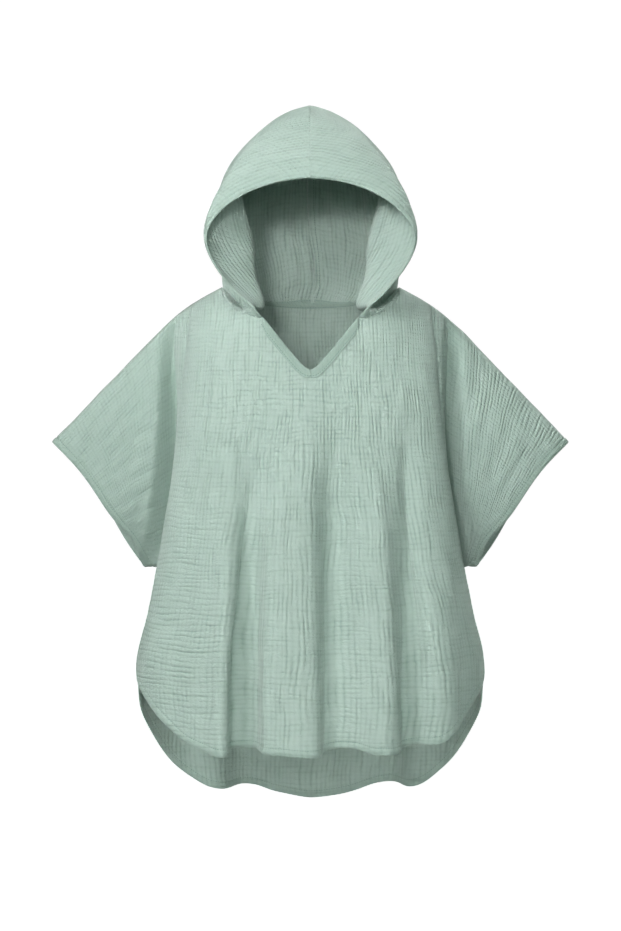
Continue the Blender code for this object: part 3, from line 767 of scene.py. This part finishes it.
def torso_block(side, grid, turned):
    """The torso part of a panel as cloth."""
    x, z = grid[..., 0], grid[..., 2]
    down = arc(grid, 0)
    level = np.array([np.interp(-CHEST_Z, -z[:, c], down[:, c]) for c in range(z.shape[1])])
    u = np.broadcast_to(torso_places() * CUT_HALF, x.shape)
    v = down - level - CHEST_Z
    if side == "front":
        lobe = soft_patch(x, z, FRONT_LOBE)
        warp = 1.0 - 0.5 * lobe - 0.3 * soft_patch(x, z, FRONT_YOKE)
        weft = 0.7 + 0.6 * lobe + 0.4 * soft_patch(x, z, FRONT_YOKE_WEFT)
        weft = weft + 0.2 * soft_patch(x, z, FRONT_HEM)
        creases, drapes = FRONT_CREASES, FRONT_DRAPES
    else:
        lobe = sum(soft_patch(x, z, patch) for patch in BACK_LOBES)
        warp, weft = 1.0 - 0.4 * lobe, 0.65 + 0.5 * lobe
        creases, drapes = BACK_CREASES, BACK_DRAPES
    from_hem = down[-1] - down
    calm = smooth(from_hem / 16) * smooth(down / 10)
    push = creased(x, z, creases) * calm * CREASE_DEPTH
    push = push + crinkled(u, v, warp, weft, SEEDS[side]) * (0.25 + 0.75 * calm)
    push += creased(x, z, drapes)
    at = np.full(x.shape, HEM_STEPS[-1])
    at[-len(HEM_STEPS) :] = HEM_STEPS[::-1, None]
    shown = warp * (0.35 + 0.65 * smooth(from_hem / 12))
    return Block(grid, turned, (u, v), shown, weft, push, *hem_offsets(at))


def sleeve_block(side, sign, grid, along, torso, turned):
    """A sleeve's half of a panel as cloth, its cut places going on from the torso's."""
    x, z = grid[..., 0], grid[..., 2]
    u = sign * (CUT_HALF + SLEEVE_CUT * along)
    armhole = torso.data[:, DATA_V].reshape(torso.points.shape[:2])[: len(z), -1 if sign > 0 else 0]
    v = armhole[:, None] + np.zeros_like(x)
    from_hem = arc(grid, 1)[:, -1:] - arc(grid, 1)
    calm = smooth(along / 0.22) * smooth(from_hem / 16)
    even = np.ones_like(x)
    if sign < 0:
        warp, weft = 0.4 * even, 0.4 + 0.6 * calm
    else:
        warp, weft = 0.4 + 0.6 * calm, 0.45 * even
    creases = RIGHT_SLEEVE_CREASES if sign < 0 else LEFT_SLEEVE_CREASES
    depth = 1.0 if side == "front" else -0.8
    push = creased(x, z, creases) * depth * calm
    push = push + crinkled(u, v, warp, weft, SEEDS["sleeve"] + sign) * (0.3 + 0.7 * calm)
    at = np.full(x.shape, HEM_STEPS[-1])
    at[:, -len(HEM_STEPS) :] = HEM_STEPS[::-1]
    return Block(grid, turned, (u, v), warp, weft, push, *hem_offsets(at))


def hood_block(grid, sign, turned):
    """Half of the hood as cloth: the rim is a turned hem, and gathers rise from the neck seam."""
    across, up = arc(grid, 1), arc(grid, 0)
    whole = across[:, -1:]
    u = sign * (across + (whole.max() - whole) * smooth(across / whole / 0.7 - 0.4))
    push = crinkled(u, up, 1.0, 0.7, SEEDS["hood"] + sign)
    push = push * smooth(across / 9 + 0.5) * smooth(up / 8)
    push += creased(sign * (whole - across), up, HOOD_CREASES)
    neck = across[0, -1]
    for along, height, width, depth, lean in GATHERS:
        middle = along * neck + lean * (up / height)
        fade = (1 - smooth((up / height - 0.25) / 0.75)) * (0.3 + 0.7 * smooth(up / 4))
        trough = np.exp(-(((across / whole * neck - middle) / width) ** 2))
        push += depth * GATHER_DEPTHS[sign] * fade * trough
    outer, inner = hem_offsets(across)
    from_seam = np.minimum(whole - across, up[-1] - up)
    outer = outer - 0.5 * np.exp(-((from_seam / 1.1) ** 2))
    if sign > 0:
        inner = inner + ALLOWANCE_HEIGHT * (from_seam < ALLOWANCE_WIDTH) * smooth(from_seam / 0.7)
    else:
        inner = inner - 0.5 * np.exp(-((from_seam / 2.6) ** 2))
    warp = 0.75 + 0.35 * smooth(across / 40)
    return Block(grid, turned, (u, up), warp, 0.6 + 0 * up, push, outer, inner)


def swayed(hood):
    """Both halves of the hood, the seam down its back drifting to one side and the other, and each
    side's flare sagging at its foot."""
    halves = {"left": hood, "right": mirrored(hood)}
    for name, grid in halves.items():
        grid = grid.copy()
        near = np.exp(-((grid[..., 0] / SWAY_REACH) ** 2))
        near = near * smooth(grid[..., 1] / 50) * smooth(arc(grid, 0) / 25)
        grid[..., 0] += SEAM_SWAY * near * np.sin((grid[..., 2] + 20) / SWAY_WAVE)
        across, up = arc(grid, 1), arc(grid, 0)
        foot = np.exp(-(((across / across[:, -1:] - FLARE_PLACE) / FLARE_REACH) ** 2))
        foot *= smooth(up / FLARE_FOOT) * (1 - smooth((up - FLARE_FOOT) / FLARE_FADE))
        grid[..., 2] -= FLARE_SAG * foot
        halves[name] = grid
    return halves


def mirrored(grid):
    """The same points on the wearer's right."""
    return grid * (-1, 1, 1)


def cut_panels():
    """The middle surface of every panel, the seams shared, as blocks for sewing."""
    front, back = torso_grid("front"), torso_grid("back")
    centre, neck = COLUMN_CENTRE, V_COLUMNS + NECK_COLUMNS
    back[0, centre + neck :] = front[0, centre + neck :]
    back[0, : centre - neck + 1] = front[0, : centre - neck + 1]
    for k in (0, -1):
        front[YOKE_ROWS:, k] = back[YOKE_ROWS:, k] = (front[YOKE_ROWS:, k] + back[YOKE_ROWS:, k]) / 2
    neck_front = front[0, centre + V_COLUMNS : centre + neck + 1]
    hood = swayed(hood_grid(neck_front, back[0, centre + neck : centre - 1 : -1]))
    torso = {"front": torso_block("front", front, False), "back": torso_block("back", back, True)}

    def sleeve(side, sign):
        grid, shares = sleeve_grid({"front": front, "back": back}[side], side, sign)
        return sleeve_block(side, sign, grid, shares, torso[side], (side == "front") != (sign > 0))

    return {
        "front_panel": [torso["front"], sleeve("front", 1), sleeve("front", -1)],
        "back_panel": [torso["back"], sleeve("back", 1), sleeve("back", -1)],
        "hood_left": [hood_block(hood["left"], 1, True)],
        "hood_right": [hood_block(hood["right"], -1, False)],
    }


# ---------------------------------------------------------------- trims and stitches

# Cross-sections of the strips sewn on: distance across, and the height over the cloth they lie on.
BAND_SECTION = (
    (0.1, 0.5), (0.8, 1.05), (3.0, 1.2), (6.0, 1.15), (7.4, 0.7), (8.5, 1.0), (9.3, 0.9), (9.8, 0.3),
)
BAND_STITCH, BAND_GAP = 7.4, 0.15
TAPE_SECTION = (
    (-5.5, 0.5), (-5.3, 1.5), (-4.9, 1.6), (-4.0, 0.6), (-3.1, 1.5), (0, 1.7),
    (3.1, 1.5), (4.0, 0.6), (4.9, 1.6), (5.3, 1.5), (5.5, 0.5),
)
TAPE_STITCHES = (-4.0, 4.0)
TAPE_SHARES, TAPE_COLUMNS = (0.03, 0.97), 90
TRIM_GAP, TRIM_INNER = 0.15, 0.0
TRIM_CRINKLE = (0.25, 0.35, 0.0)
STITCH_LIFT = 0.05
# Enough of a panel's rows from its neck edge to lie under each trim
BAND_ROWS, TAPE_ROWS, HOOD_BASE_ROWS = 24, 14, 16


def down_columns(points, normals, distances):
    """Points and normals at distances down each column of a grid, one column of distances for each."""
    along = arc(points, 0)
    columns = range(points.shape[1])
    on, way = (np.stack([read(grid[:, c], along[:, c], distances[:, c]) for c in columns], axis=1)
               for grid in (points, normals))
    return on, unit(way)


def strip(name, points, normals, heights, material):
    """A sewn-on strip: its points on the cloth, raised to lie on it, and its height at each."""
    rows, columns = points.shape[:2]
    facing = np.cross(points[1, 0] - points[0, 0], points[0, 1] - points[0, 0]) @ normals[0, 0]
    quads = grid_quads(rows, columns, facing <= 0)
    cut = np.stack([arc(points, 1), arc(points, 0)], axis=-1).reshape(-1, 2)
    lifted = (points + normals * (CLOTH_HALF + TRIM_GAP)).reshape(-1, 3)
    runs = np.tile(TRIM_CRINKLE, (rows * columns, 1))
    outer = np.broadcast_to(np.array(heights)[:, None], (rows, columns)).ravel()
    inner = np.full(rows * columns, TRIM_INNER)
    return shell(name, lifted, normals.reshape(-1, 3), quads, outer, inner, cut, runs, material)


def neck_bands(panel, torso, material):
    """The two bands along the V, mitred at its point, and the lines they are stitched on."""
    points, normals = panel.points[torso.own], panel.normals[torso.own]
    distances, heights = zip(*BAND_SECTION)
    stitch_row = distances.index(BAND_STITCH)
    made, lines = [], []
    for name, first, middle, sign in (("neck_band_right", COLUMN_CENTRE - V_COLUMNS, -1, -1),
                                      ("neck_band_left", COLUMN_CENTRE, 0, 1)):
        span = slice(first, first + V_COLUMNS + 1)
        run = np.gradient(points[0, span], axis=0)
        widening = np.linalg.norm(run, axis=1) / np.abs(run[:, 0])
        across = np.array(distances)[:, None] * widening
        on, way = down_columns(points[:BAND_ROWS, span], normals[:BAND_ROWS, span], across)
        on[:, middle, 0] += BAND_GAP * sign
        made.append(strip(name, on, way, heights, material))
        lines.append(stitch_line(on, way, stitch_row, heights))
    return made, lines


def stitch_line(on, way, row, heights):
    """The line of a trim's stitches, on its face at one row of its section."""
    return on[row] + way[row] * (CLOTH_HALF + TRIM_GAP + heights[row])


def neck_tape(panels, blocks, material):
    """The tape inside the back neck, half of its width on the hood and half on the back panel."""
    back, own = panels["back_panel"], blocks["back_panel"][0].own
    neck = V_COLUMNS + NECK_COLUMNS
    under = own[:TAPE_ROWS, COLUMN_CENTRE - neck : COLUMN_CENTRE + neck + 1]
    shares = np.linspace(*TAPE_SHARES, TAPE_COLUMNS)
    lower = np.stack([resampled(row, shares) for row in back.points[under]])
    places = np.linspace(0, 1, under.shape[1])
    lower_way = unit(np.stack([read(row, places, shares) for row in back.normals[under]]))
    upper, upper_way = hood_base(panels, blocks, lower[0])
    distances, heights = zip(*TAPE_SECTION)
    rows, ways = [], []
    for distance in distances:
        grid, way = (upper, upper_way) if distance < 0 else (lower, lower_way)
        on, out = down_columns(grid, way, np.full((1, grid.shape[1]), abs(distance)))
        rows.append(on[0])
        ways.append(out[0])
    rows, ways = np.array(rows), -unit(np.array(ways))
    tape = strip("neck_tape", rows, ways, heights, material)
    return tape, [stitch_line(rows, ways, distances.index(place), heights) for place in TAPE_STITCHES]


def hood_base(panels, blocks, seam):
    """The hood's lowest rows over the back neck, a column over each point of the seam."""
    grids, ways = [], []
    for name in ("hood_right", "hood_left"):
        block, panel = blocks[name][0], panels[name]
        grids.append(panel.points[block.own][:HOOD_BASE_ROWS])
        ways.append(panel.normals[block.own][:HOOD_BASE_ROWS])
    whole = np.concatenate([grids[0], grids[1][:, -2::-1]], axis=1)
    way = np.concatenate([ways[0], ways[1][:, -2::-1]], axis=1)
    nearest = np.linalg.norm(whole[0][:, None] - seam[None], axis=-1).argmin(axis=0)
    return whole[:, nearest], way[:, nearest]


STITCH_PITCH, STITCH_LENGTH, STITCH_WIDTH = 3.0, 2.3, 0.8
STITCH_SEGMENTS, STITCH_RINGS = 6, 4


def stitch_tree():
    """Geometry nodes: a stitch at each even step along a line, turned the way the line runs."""
    tree = bpy.data.node_groups.new("running_stitch", "GeometryNodeTree")
    socket = {}
    for name, kind in (("Geometry", "Geometry"), ("Pitch", "Float"), ("Length", "Float"),
                       ("Width", "Float"), ("Thread", "Material")):
        item = tree.interface.new_socket(name, in_out="INPUT", socket_type="NodeSocket" + kind)
        socket[name] = item.identifier
    tree.interface.new_socket("Geometry", in_out="OUTPUT", socket_type="NodeSocketGeometry")

    def node(kind, **settings):
        made = tree.nodes.new(kind)
        for key, value in settings.items():
            setattr(made, key, value)
        return made

    def link(a, b):
        tree.links.new(a, b)

    given, result = node("NodeGroupInput"), node("NodeGroupOutput")
    curve = node("GeometryNodeMeshToCurve")
    steps = node("GeometryNodeResampleCurve", mode="LENGTH")
    tangent = node("GeometryNodeInputTangent")
    turn = node("FunctionNodeAlignRotationToVector", axis="X")
    grain = node("GeometryNodeMeshUVSphere")
    grain.inputs["Segments"].default_value = STITCH_SEGMENTS
    grain.inputs["Rings"].default_value = STITCH_RINGS
    grain.inputs["Radius"].default_value = 0.5
    size = node("ShaderNodeCombineXYZ")
    put = node("GeometryNodeInstanceOnPoints")
    real = node("GeometryNodeRealizeInstances")
    thread = node("GeometryNodeSetMaterial")
    link(given.outputs["Geometry"], curve.inputs["Mesh"])
    link(curve.outputs["Curve"], steps.inputs["Curve"])
    link(given.outputs["Pitch"], steps.inputs["Length"])
    link(tangent.outputs["Tangent"], turn.inputs["Vector"])
    link(given.outputs["Length"], size.inputs["X"])
    link(given.outputs["Width"], size.inputs["Y"])
    link(given.outputs["Width"], size.inputs["Z"])
    link(steps.outputs["Curve"], put.inputs["Points"])
    link(grain.outputs["Mesh"], put.inputs["Instance"])
    link(turn.outputs["Rotation"], put.inputs["Rotation"])
    link(size.outputs["Vector"], put.inputs["Scale"])
    link(put.outputs["Instances"], real.inputs["Geometry"])
    link(real.outputs["Geometry"], thread.inputs["Geometry"])
    link(given.outputs["Thread"], thread.inputs["Material"])
    link(thread.outputs["Geometry"], result.inputs["Geometry"])
    return tree, socket


def stitched(name, lines, tree, socket, thread):
    """One piece that holds every stitch along the given lines."""
    points, edges = [], []
    for line in lines:
        edges += [(len(points) + k, len(points) + k + 1) for k in range(len(line) - 1)]
        points += [Vector(p) * MM for p in line]
    mesh = bpy.data.meshes.new(name + "_lines")
    mesh.from_pydata(points, edges, [])
    guide = bpy.data.objects.new(name + "_lines", mesh)
    bpy.context.scene.collection.objects.link(guide)
    modifier = guide.modifiers.new("running_stitch", "NODES")
    modifier.node_group = tree
    for key, size in (("Pitch", STITCH_PITCH), ("Length", STITCH_LENGTH), ("Width", STITCH_WIDTH)):
        modifier[socket[key]] = size * MM
    modifier[socket["Thread"]] = thread
    bpy.context.view_layer.update()
    evaluated = guide.evaluated_get(bpy.context.evaluated_depsgraph_get())
    made = bpy.data.meshes.new_from_object(evaluated)
    made.name = name
    bpy.data.objects.remove(guide)
    piece = bpy.data.objects.new(name, made)
    bpy.context.scene.collection.objects.link(piece)
    made.shade_smooth()
    return piece


def hem_lines(panel, block, edge):
    """The stitch line of a hem on both faces of the cloth, along the dip in its profile. The hem is
    at the grid's first column, its last column or its last row."""
    at = [row[0] for row in HEM_PROFILE].index(HEM_STITCH)
    _, outer, inner = HEM_PROFILE[at]
    lines = {
        "first column": block.own[:, at],
        "last column": block.own[:, -1 - at],
        "last row": block.own[-1 - at],
    }
    points, normals = panel.points[lines[edge]], panel.normals[lines[edge]]
    return [points + normals * (outer + STITCH_LIFT), points - normals * (inner + STITCH_LIFT)]


def allowance_line(panel, block):
    """The stitch line that holds the hood's centre seam allowance down, on the inside."""
    at = -1 - SEAM_STEPS.index(ALLOWANCE_STITCH)
    seam = np.concatenate([block.own[:at, at], block.own[at, at::-1]])
    inner = panel.data[seam, DATA_INNER]
    return panel.points[seam] - panel.normals[seam] * (inner + STITCH_LIFT)[:, None]


# ---------------------------------------------------------------- finishes

# The cloth's colour, and a deeper one that it takes in random mottled patches and in the crinkles' valleys,
# where the deeper colour is painted shade.
GAUZE_LIGHT = (0.452, 0.560, 0.505)
GAUZE_MOTTLE_AND_VALLEY_SHADE = (0.232, 0.330, 0.276)
THREAD = (0.200, 0.310, 0.250)
# Fine crinkles of the material, for each metre of cloth: those that run along and across its length
LENGTHWISE_PLEATS, CROSSWISE_PLEATS = 215.0, 175.0


def node_maker(material):
    """Short ways to add and join a material's nodes."""
    tree = material.node_tree

    def add(kind, inputs=(), **settings):
        node = tree.nodes.new(kind)
        for key, value in settings.items():
            setattr(node, key, value)
        for key, value in dict(inputs).items():
            if isinstance(value, bpy.types.NodeSocket):
                tree.links.new(value, node.inputs[key])
            else:
                node.inputs[key].default_value = value
        return node

    def maths(operation, a, b=0.0, c=0.0, clamp=False):
        return add("ShaderNodeMath", {0: a, 1: b, 2: c}, operation=operation, use_clamp=clamp).outputs[0]

    return add, maths


def gauze():
    """Crinkled double gauze: narrow wandering valleys along both threads, a pebbled face and a soft
    nap. The run attribute's x and y say how strongly each thread's crinkles show."""
    material = bpy.data.materials.new("gauze")
    material.use_nodes = True
    add, maths = node_maker(material)
    shader = material.node_tree.nodes["Principled BSDF"]
    place = add("ShaderNodeUVMap", uv_map="cut").outputs["UV"]
    strength = add("ShaderNodeAttribute", attribute_name="run").outputs["Vector"]
    run = add("ShaderNodeSeparateXYZ", {"Vector": strength})

    def spots(at, scale, detail, roughness=0.5):
        inputs = {"Vector": at, "Scale": scale, "Detail": detail, "Roughness": roughness}
        return add("ShaderNodeTexNoise", inputs, noise_dimensions="2D")

    def drift(scale, detail, reach):
        inputs = {0: spots(place, scale, detail).outputs["Color"], "Scale": reach}
        return add("ShaderNodeVectorMath", inputs, operation="SCALE").outputs[0]

    def sum_of(a, b):
        return add("ShaderNodeVectorMath", {0: a, 1: b}, operation="ADD").outputs[0]

    wavy = sum_of(place, sum_of(drift(18.0, 0.0, 0.005), drift(120.0, 1.0, 0.0010)))

    def scaled(across, along, x, y):
        inputs = {"X": maths("MULTIPLY", across, x), "Y": maths("MULTIPLY", along, y)}
        return add("ShaderNodeCombineXYZ", inputs).outputs[0]

    def pleats(across, along, count, run_length):
        """Fine soft pleats of one thread, 0 in a valley and 1 on a crest, uneven in spacing and depth."""
        jitter = spots(scaled(across, along, 30.0, run_length), 1.0, 1.5).outputs["Fac"]
        phase = maths("MULTIPLY_ADD", jitter, 11.0, maths("MULTIPLY", across, count * math.tau))
        crest = maths("POWER", maths("MULTIPLY_ADD", maths("SINE", phase), 0.5, 0.5), 0.5)
        uneven = spots(scaled(across, along, 120.0, 3.0 * run_length), 1.0, 2.0, 0.55).outputs["Fac"]
        limits = {"From Min": 0.36, "From Max": 0.68, "To Min": 0.30, "To Max": 1.0}
        depth = add("ShaderNodeMapRange", {"Value": uneven, **limits}, interpolation_type="SMOOTHSTEP")
        sunk = maths("MULTIPLY", depth.outputs["Result"], maths("SUBTRACT", 1.0, crest))
        return maths("SUBTRACT", 1.0, sunk)

    threads = add("ShaderNodeSeparateXYZ", {"Vector": wavy}).outputs
    lengthwise = pleats(threads["X"], threads["Y"], LENGTHWISE_PLEATS, 9.0)
    crosswise = pleats(threads["Y"], threads["X"], CROSSWISE_PLEATS, 12.0)
    lengthwise = maths("MULTIPLY", lengthwise, run.outputs["X"])
    crosswise = maths("MULTIPLY", crosswise, run.outputs["Y"])
    pebble = spots(place, 420.0, 2.0, 0.7).outputs["Fac"]
    crinkle = maths("MULTIPLY_ADD", crosswise, 0.7, lengthwise)
    relief = maths("MULTIPLY_ADD", pebble, 0.9, crinkle)
    bump = add("ShaderNodeBump", {"Height": relief, "Strength": 1.0, "Distance": 0.0010})
    mottle = spots(place, 14.0, 3.0, 0.6).outputs["Fac"]
    # Darker in random mottled patches, and darker in the valleys of the fine crinkles, which is painted
    # shade.
    mottle_and_valley_shade = maths("MULTIPLY_ADD", mottle, 0.30, maths("MULTIPLY_ADD", crinkle, 0.45, 0.10), clamp=True)
    shades = {"Factor": mottle_and_valley_shade, "A": (*GAUZE_MOTTLE_AND_VALLEY_SHADE, 1), "B": (*GAUZE_LIGHT, 1)}
    colour = add("ShaderNodeMix", shades, data_type="RGBA")
    material.node_tree.links.new(colour.outputs["Result"], shader.inputs["Base Color"])
    material.node_tree.links.new(bump.outputs["Normal"], shader.inputs["Normal"])
    for name, value in (("Roughness", 0.92), ("Specular IOR Level", 0.25), ("Sheen Weight", 0.25),
                        ("Sheen Roughness", 0.5)):
        shader.inputs[name].default_value = value
    return material


def sewing_thread():
    """Matt cotton thread, a little deeper than the cloth."""
    material = bpy.data.materials.new("thread")
    material.use_nodes = True
    add, _ = node_maker(material)
    shader = material.node_tree.nodes["Principled BSDF"]
    place = add("ShaderNodeTexCoord").outputs["Object"]
    twist = add("ShaderNodeTexNoise", {"Vector": place, "Scale": 900.0, "Detail": 1.0}).outputs["Fac"]
    deep = tuple(0.8 * c for c in THREAD)
    shades = {"Factor": twist, "A": (*deep, 1), "B": (*THREAD, 1)}
    colour = add("ShaderNodeMix", shades, data_type="RGBA")
    material.node_tree.links.new(colour.outputs["Result"], shader.inputs["Base Color"])
    shader.inputs["Roughness"].default_value = 0.8
    return material


# ---------------------------------------------------------------- the studio

ROOM_LIGHT, ROOM_STRENGTH = (0.66, 1.0, 0.82, 1), 0.13
BACKDROP, BACKDROP_STRENGTH = (1, 1, 1, 1), 1.02
FLOOR_HALF, FLOOR_Z, FLOOR_SHADE = 30.0, -1.25, (0.85, 0.85, 0.85, 1)
BODY_MIDDLE = (0, 0, -0.2)
CAMERA_PLACE, CAMERA_LENS = (0, -3.0, -0.1995), 100.87


def softbox(name, place, aim, size, power, spread=180):
    """A square area light that looks at a point; a small spread keeps its light to a narrow beam."""
    light = bpy.data.lights.new(name, "AREA")
    light.shape, light.size, light.energy, light.spread = "SQUARE", size, power, math.radians(spread)
    lamp = bpy.data.objects.new(name, light)
    lamp.location = place
    lamp.rotation_euler = (Vector(aim) - Vector(place)).to_track_quat("-Z", "Y").to_euler()
    bpy.context.scene.collection.objects.link(lamp)


def studio():
    """A pale floor, an even pale room and soft lights, brightest from the wearer's upper right in front
    and from the opposite corner behind."""
    world = bpy.data.worlds.new("room")
    world.use_nodes = True
    tree = world.node_tree
    back = tree.nodes["Background"]
    room = tree.nodes.new("ShaderNodeBackground")
    mix = tree.nodes.new("ShaderNodeMixShader")
    path = tree.nodes.new("ShaderNodeLightPath")
    for shade, colour, strength in ((back, ROOM_LIGHT, ROOM_STRENGTH),
                                    (room, BACKDROP, BACKDROP_STRENGTH)):
        shade.inputs["Color"].default_value, shade.inputs["Strength"].default_value = colour, strength
    tree.links.new(path.outputs["Is Camera Ray"], mix.inputs[0])
    tree.links.new(back.outputs[0], mix.inputs[1])
    tree.links.new(room.outputs[0], mix.inputs[2])
    tree.links.new(mix.outputs[0], tree.nodes["World Output"].inputs["Surface"])
    bpy.context.scene.world = world

    floor_mesh = bpy.data.meshes.new("floor")
    signs = ((-1, -1), (1, -1), (1, 1), (-1, 1))
    corners = [(x * FLOOR_HALF, y * FLOOR_HALF, FLOOR_Z) for x, y in signs]
    floor_mesh.from_pydata(corners, [], [(0, 1, 2, 3)])
    floor = bpy.data.objects.new("floor", floor_mesh)
    paint = bpy.data.materials.new("floor_paint")
    paint.use_nodes = True
    shader = paint.node_tree.nodes["Principled BSDF"]
    shader.inputs["Base Color"].default_value = FLOOR_SHADE
    shader.inputs["Roughness"].default_value = 0.9
    shader.inputs["Emission Color"].default_value = (1, 1, 1, 1)
    shader.inputs["Emission Strength"].default_value = 1.0
    floor_mesh.materials.append(paint)
    bpy.context.scene.collection.objects.link(floor)
    floor.visible_diffuse = False

    aim = BODY_MIDDLE
    softbox("key", (-1.75, -2.0, 1.45), aim, 0.9, 47)
    softbox("top", (-0.7, -0.9, 1.9), aim, 0.8, 12)
    softbox("front_fill", (0.1, -3.1, 0.6), aim, 1.2, 15)
    softbox("hood_beam", (-0.5, -2.4, 0.4), (0, 0.06, 0.0), 0.6, 0.5, 16)
    softbox("right_fill", (2.1, -2.2, 0.3), aim, 1.0, 7)
    softbox("low_front", (-0.2, -2.3, -1.1), (0, 0.07, -0.62), 0.6, 0.8, 28)
    softbox("low_back", (0.2, 2.3, -1.1), (0, -0.07, -0.6), 0.6, 0.5, 28)
    softbox("back_key", (1.75, 2.0, 1.45), aim, 0.9, 52)
    softbox("back_fill", (0.1, 3.1, 0.6), aim, 1.2, 22)

    view = bpy.context.scene.view_settings
    view.view_transform, view.look = "Standard", "None"

    lens = bpy.data.cameras.new("camera")
    lens.sensor_fit, lens.sensor_height, lens.lens = "VERTICAL", 36.0, CAMERA_LENS
    camera = bpy.data.objects.new("camera", lens)
    camera.location, camera.rotation_euler = CAMERA_PLACE, (math.pi / 2, 0, 0)
    bpy.context.scene.collection.objects.link(camera)
    bpy.context.scene.camera = camera


# ---------------------------------------------------------------- making up


def main():
    """Cuts and sews the panels, lays on the trims and stitches, hangs them on the root body, hides the
    solids.
    """
    cloth, thread = gauze(), sewing_thread()
    blocks = cut_panels()
    panels = sew(blocks)
    pieces = [panel_shell(panels[name], cloth) for name in blocks]
    bands, band_lines = neck_bands(panels["front_panel"], blocks["front_panel"][0], cloth)
    tape, tape_lines = neck_tape(panels, blocks, cloth)
    pieces += [*bands, tape]

    tree, socket = stitch_tree()
    lines = {}
    for name in ("front_panel", "back_panel"):
        torso, *sleeves = blocks[name]
        lines[name] = hem_lines(panels[name], torso, "last row")
        for block in sleeves:
            lines[name] += hem_lines(panels[name], block, "last column")
    for name in ("hood_left", "hood_right"):
        lines[name] = hem_lines(panels[name], blocks[name][0], "first column")
    lines["hood_left"].append(allowance_line(panels["hood_left"], blocks["hood_left"][0]))
    lines["neck_band_right"], lines["neck_band_left"] = [band_lines[0]], [band_lines[1]]
    lines["neck_tape"] = tape_lines
    for piece in pieces:
        name = piece.name.removesuffix("_cloth")
        stitches = stitched(name + "_stitches", lines[name], tree, socket, thread)
        for part in (piece, stitches):
            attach(part, "root")
        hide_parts(name)
    studio()


main()
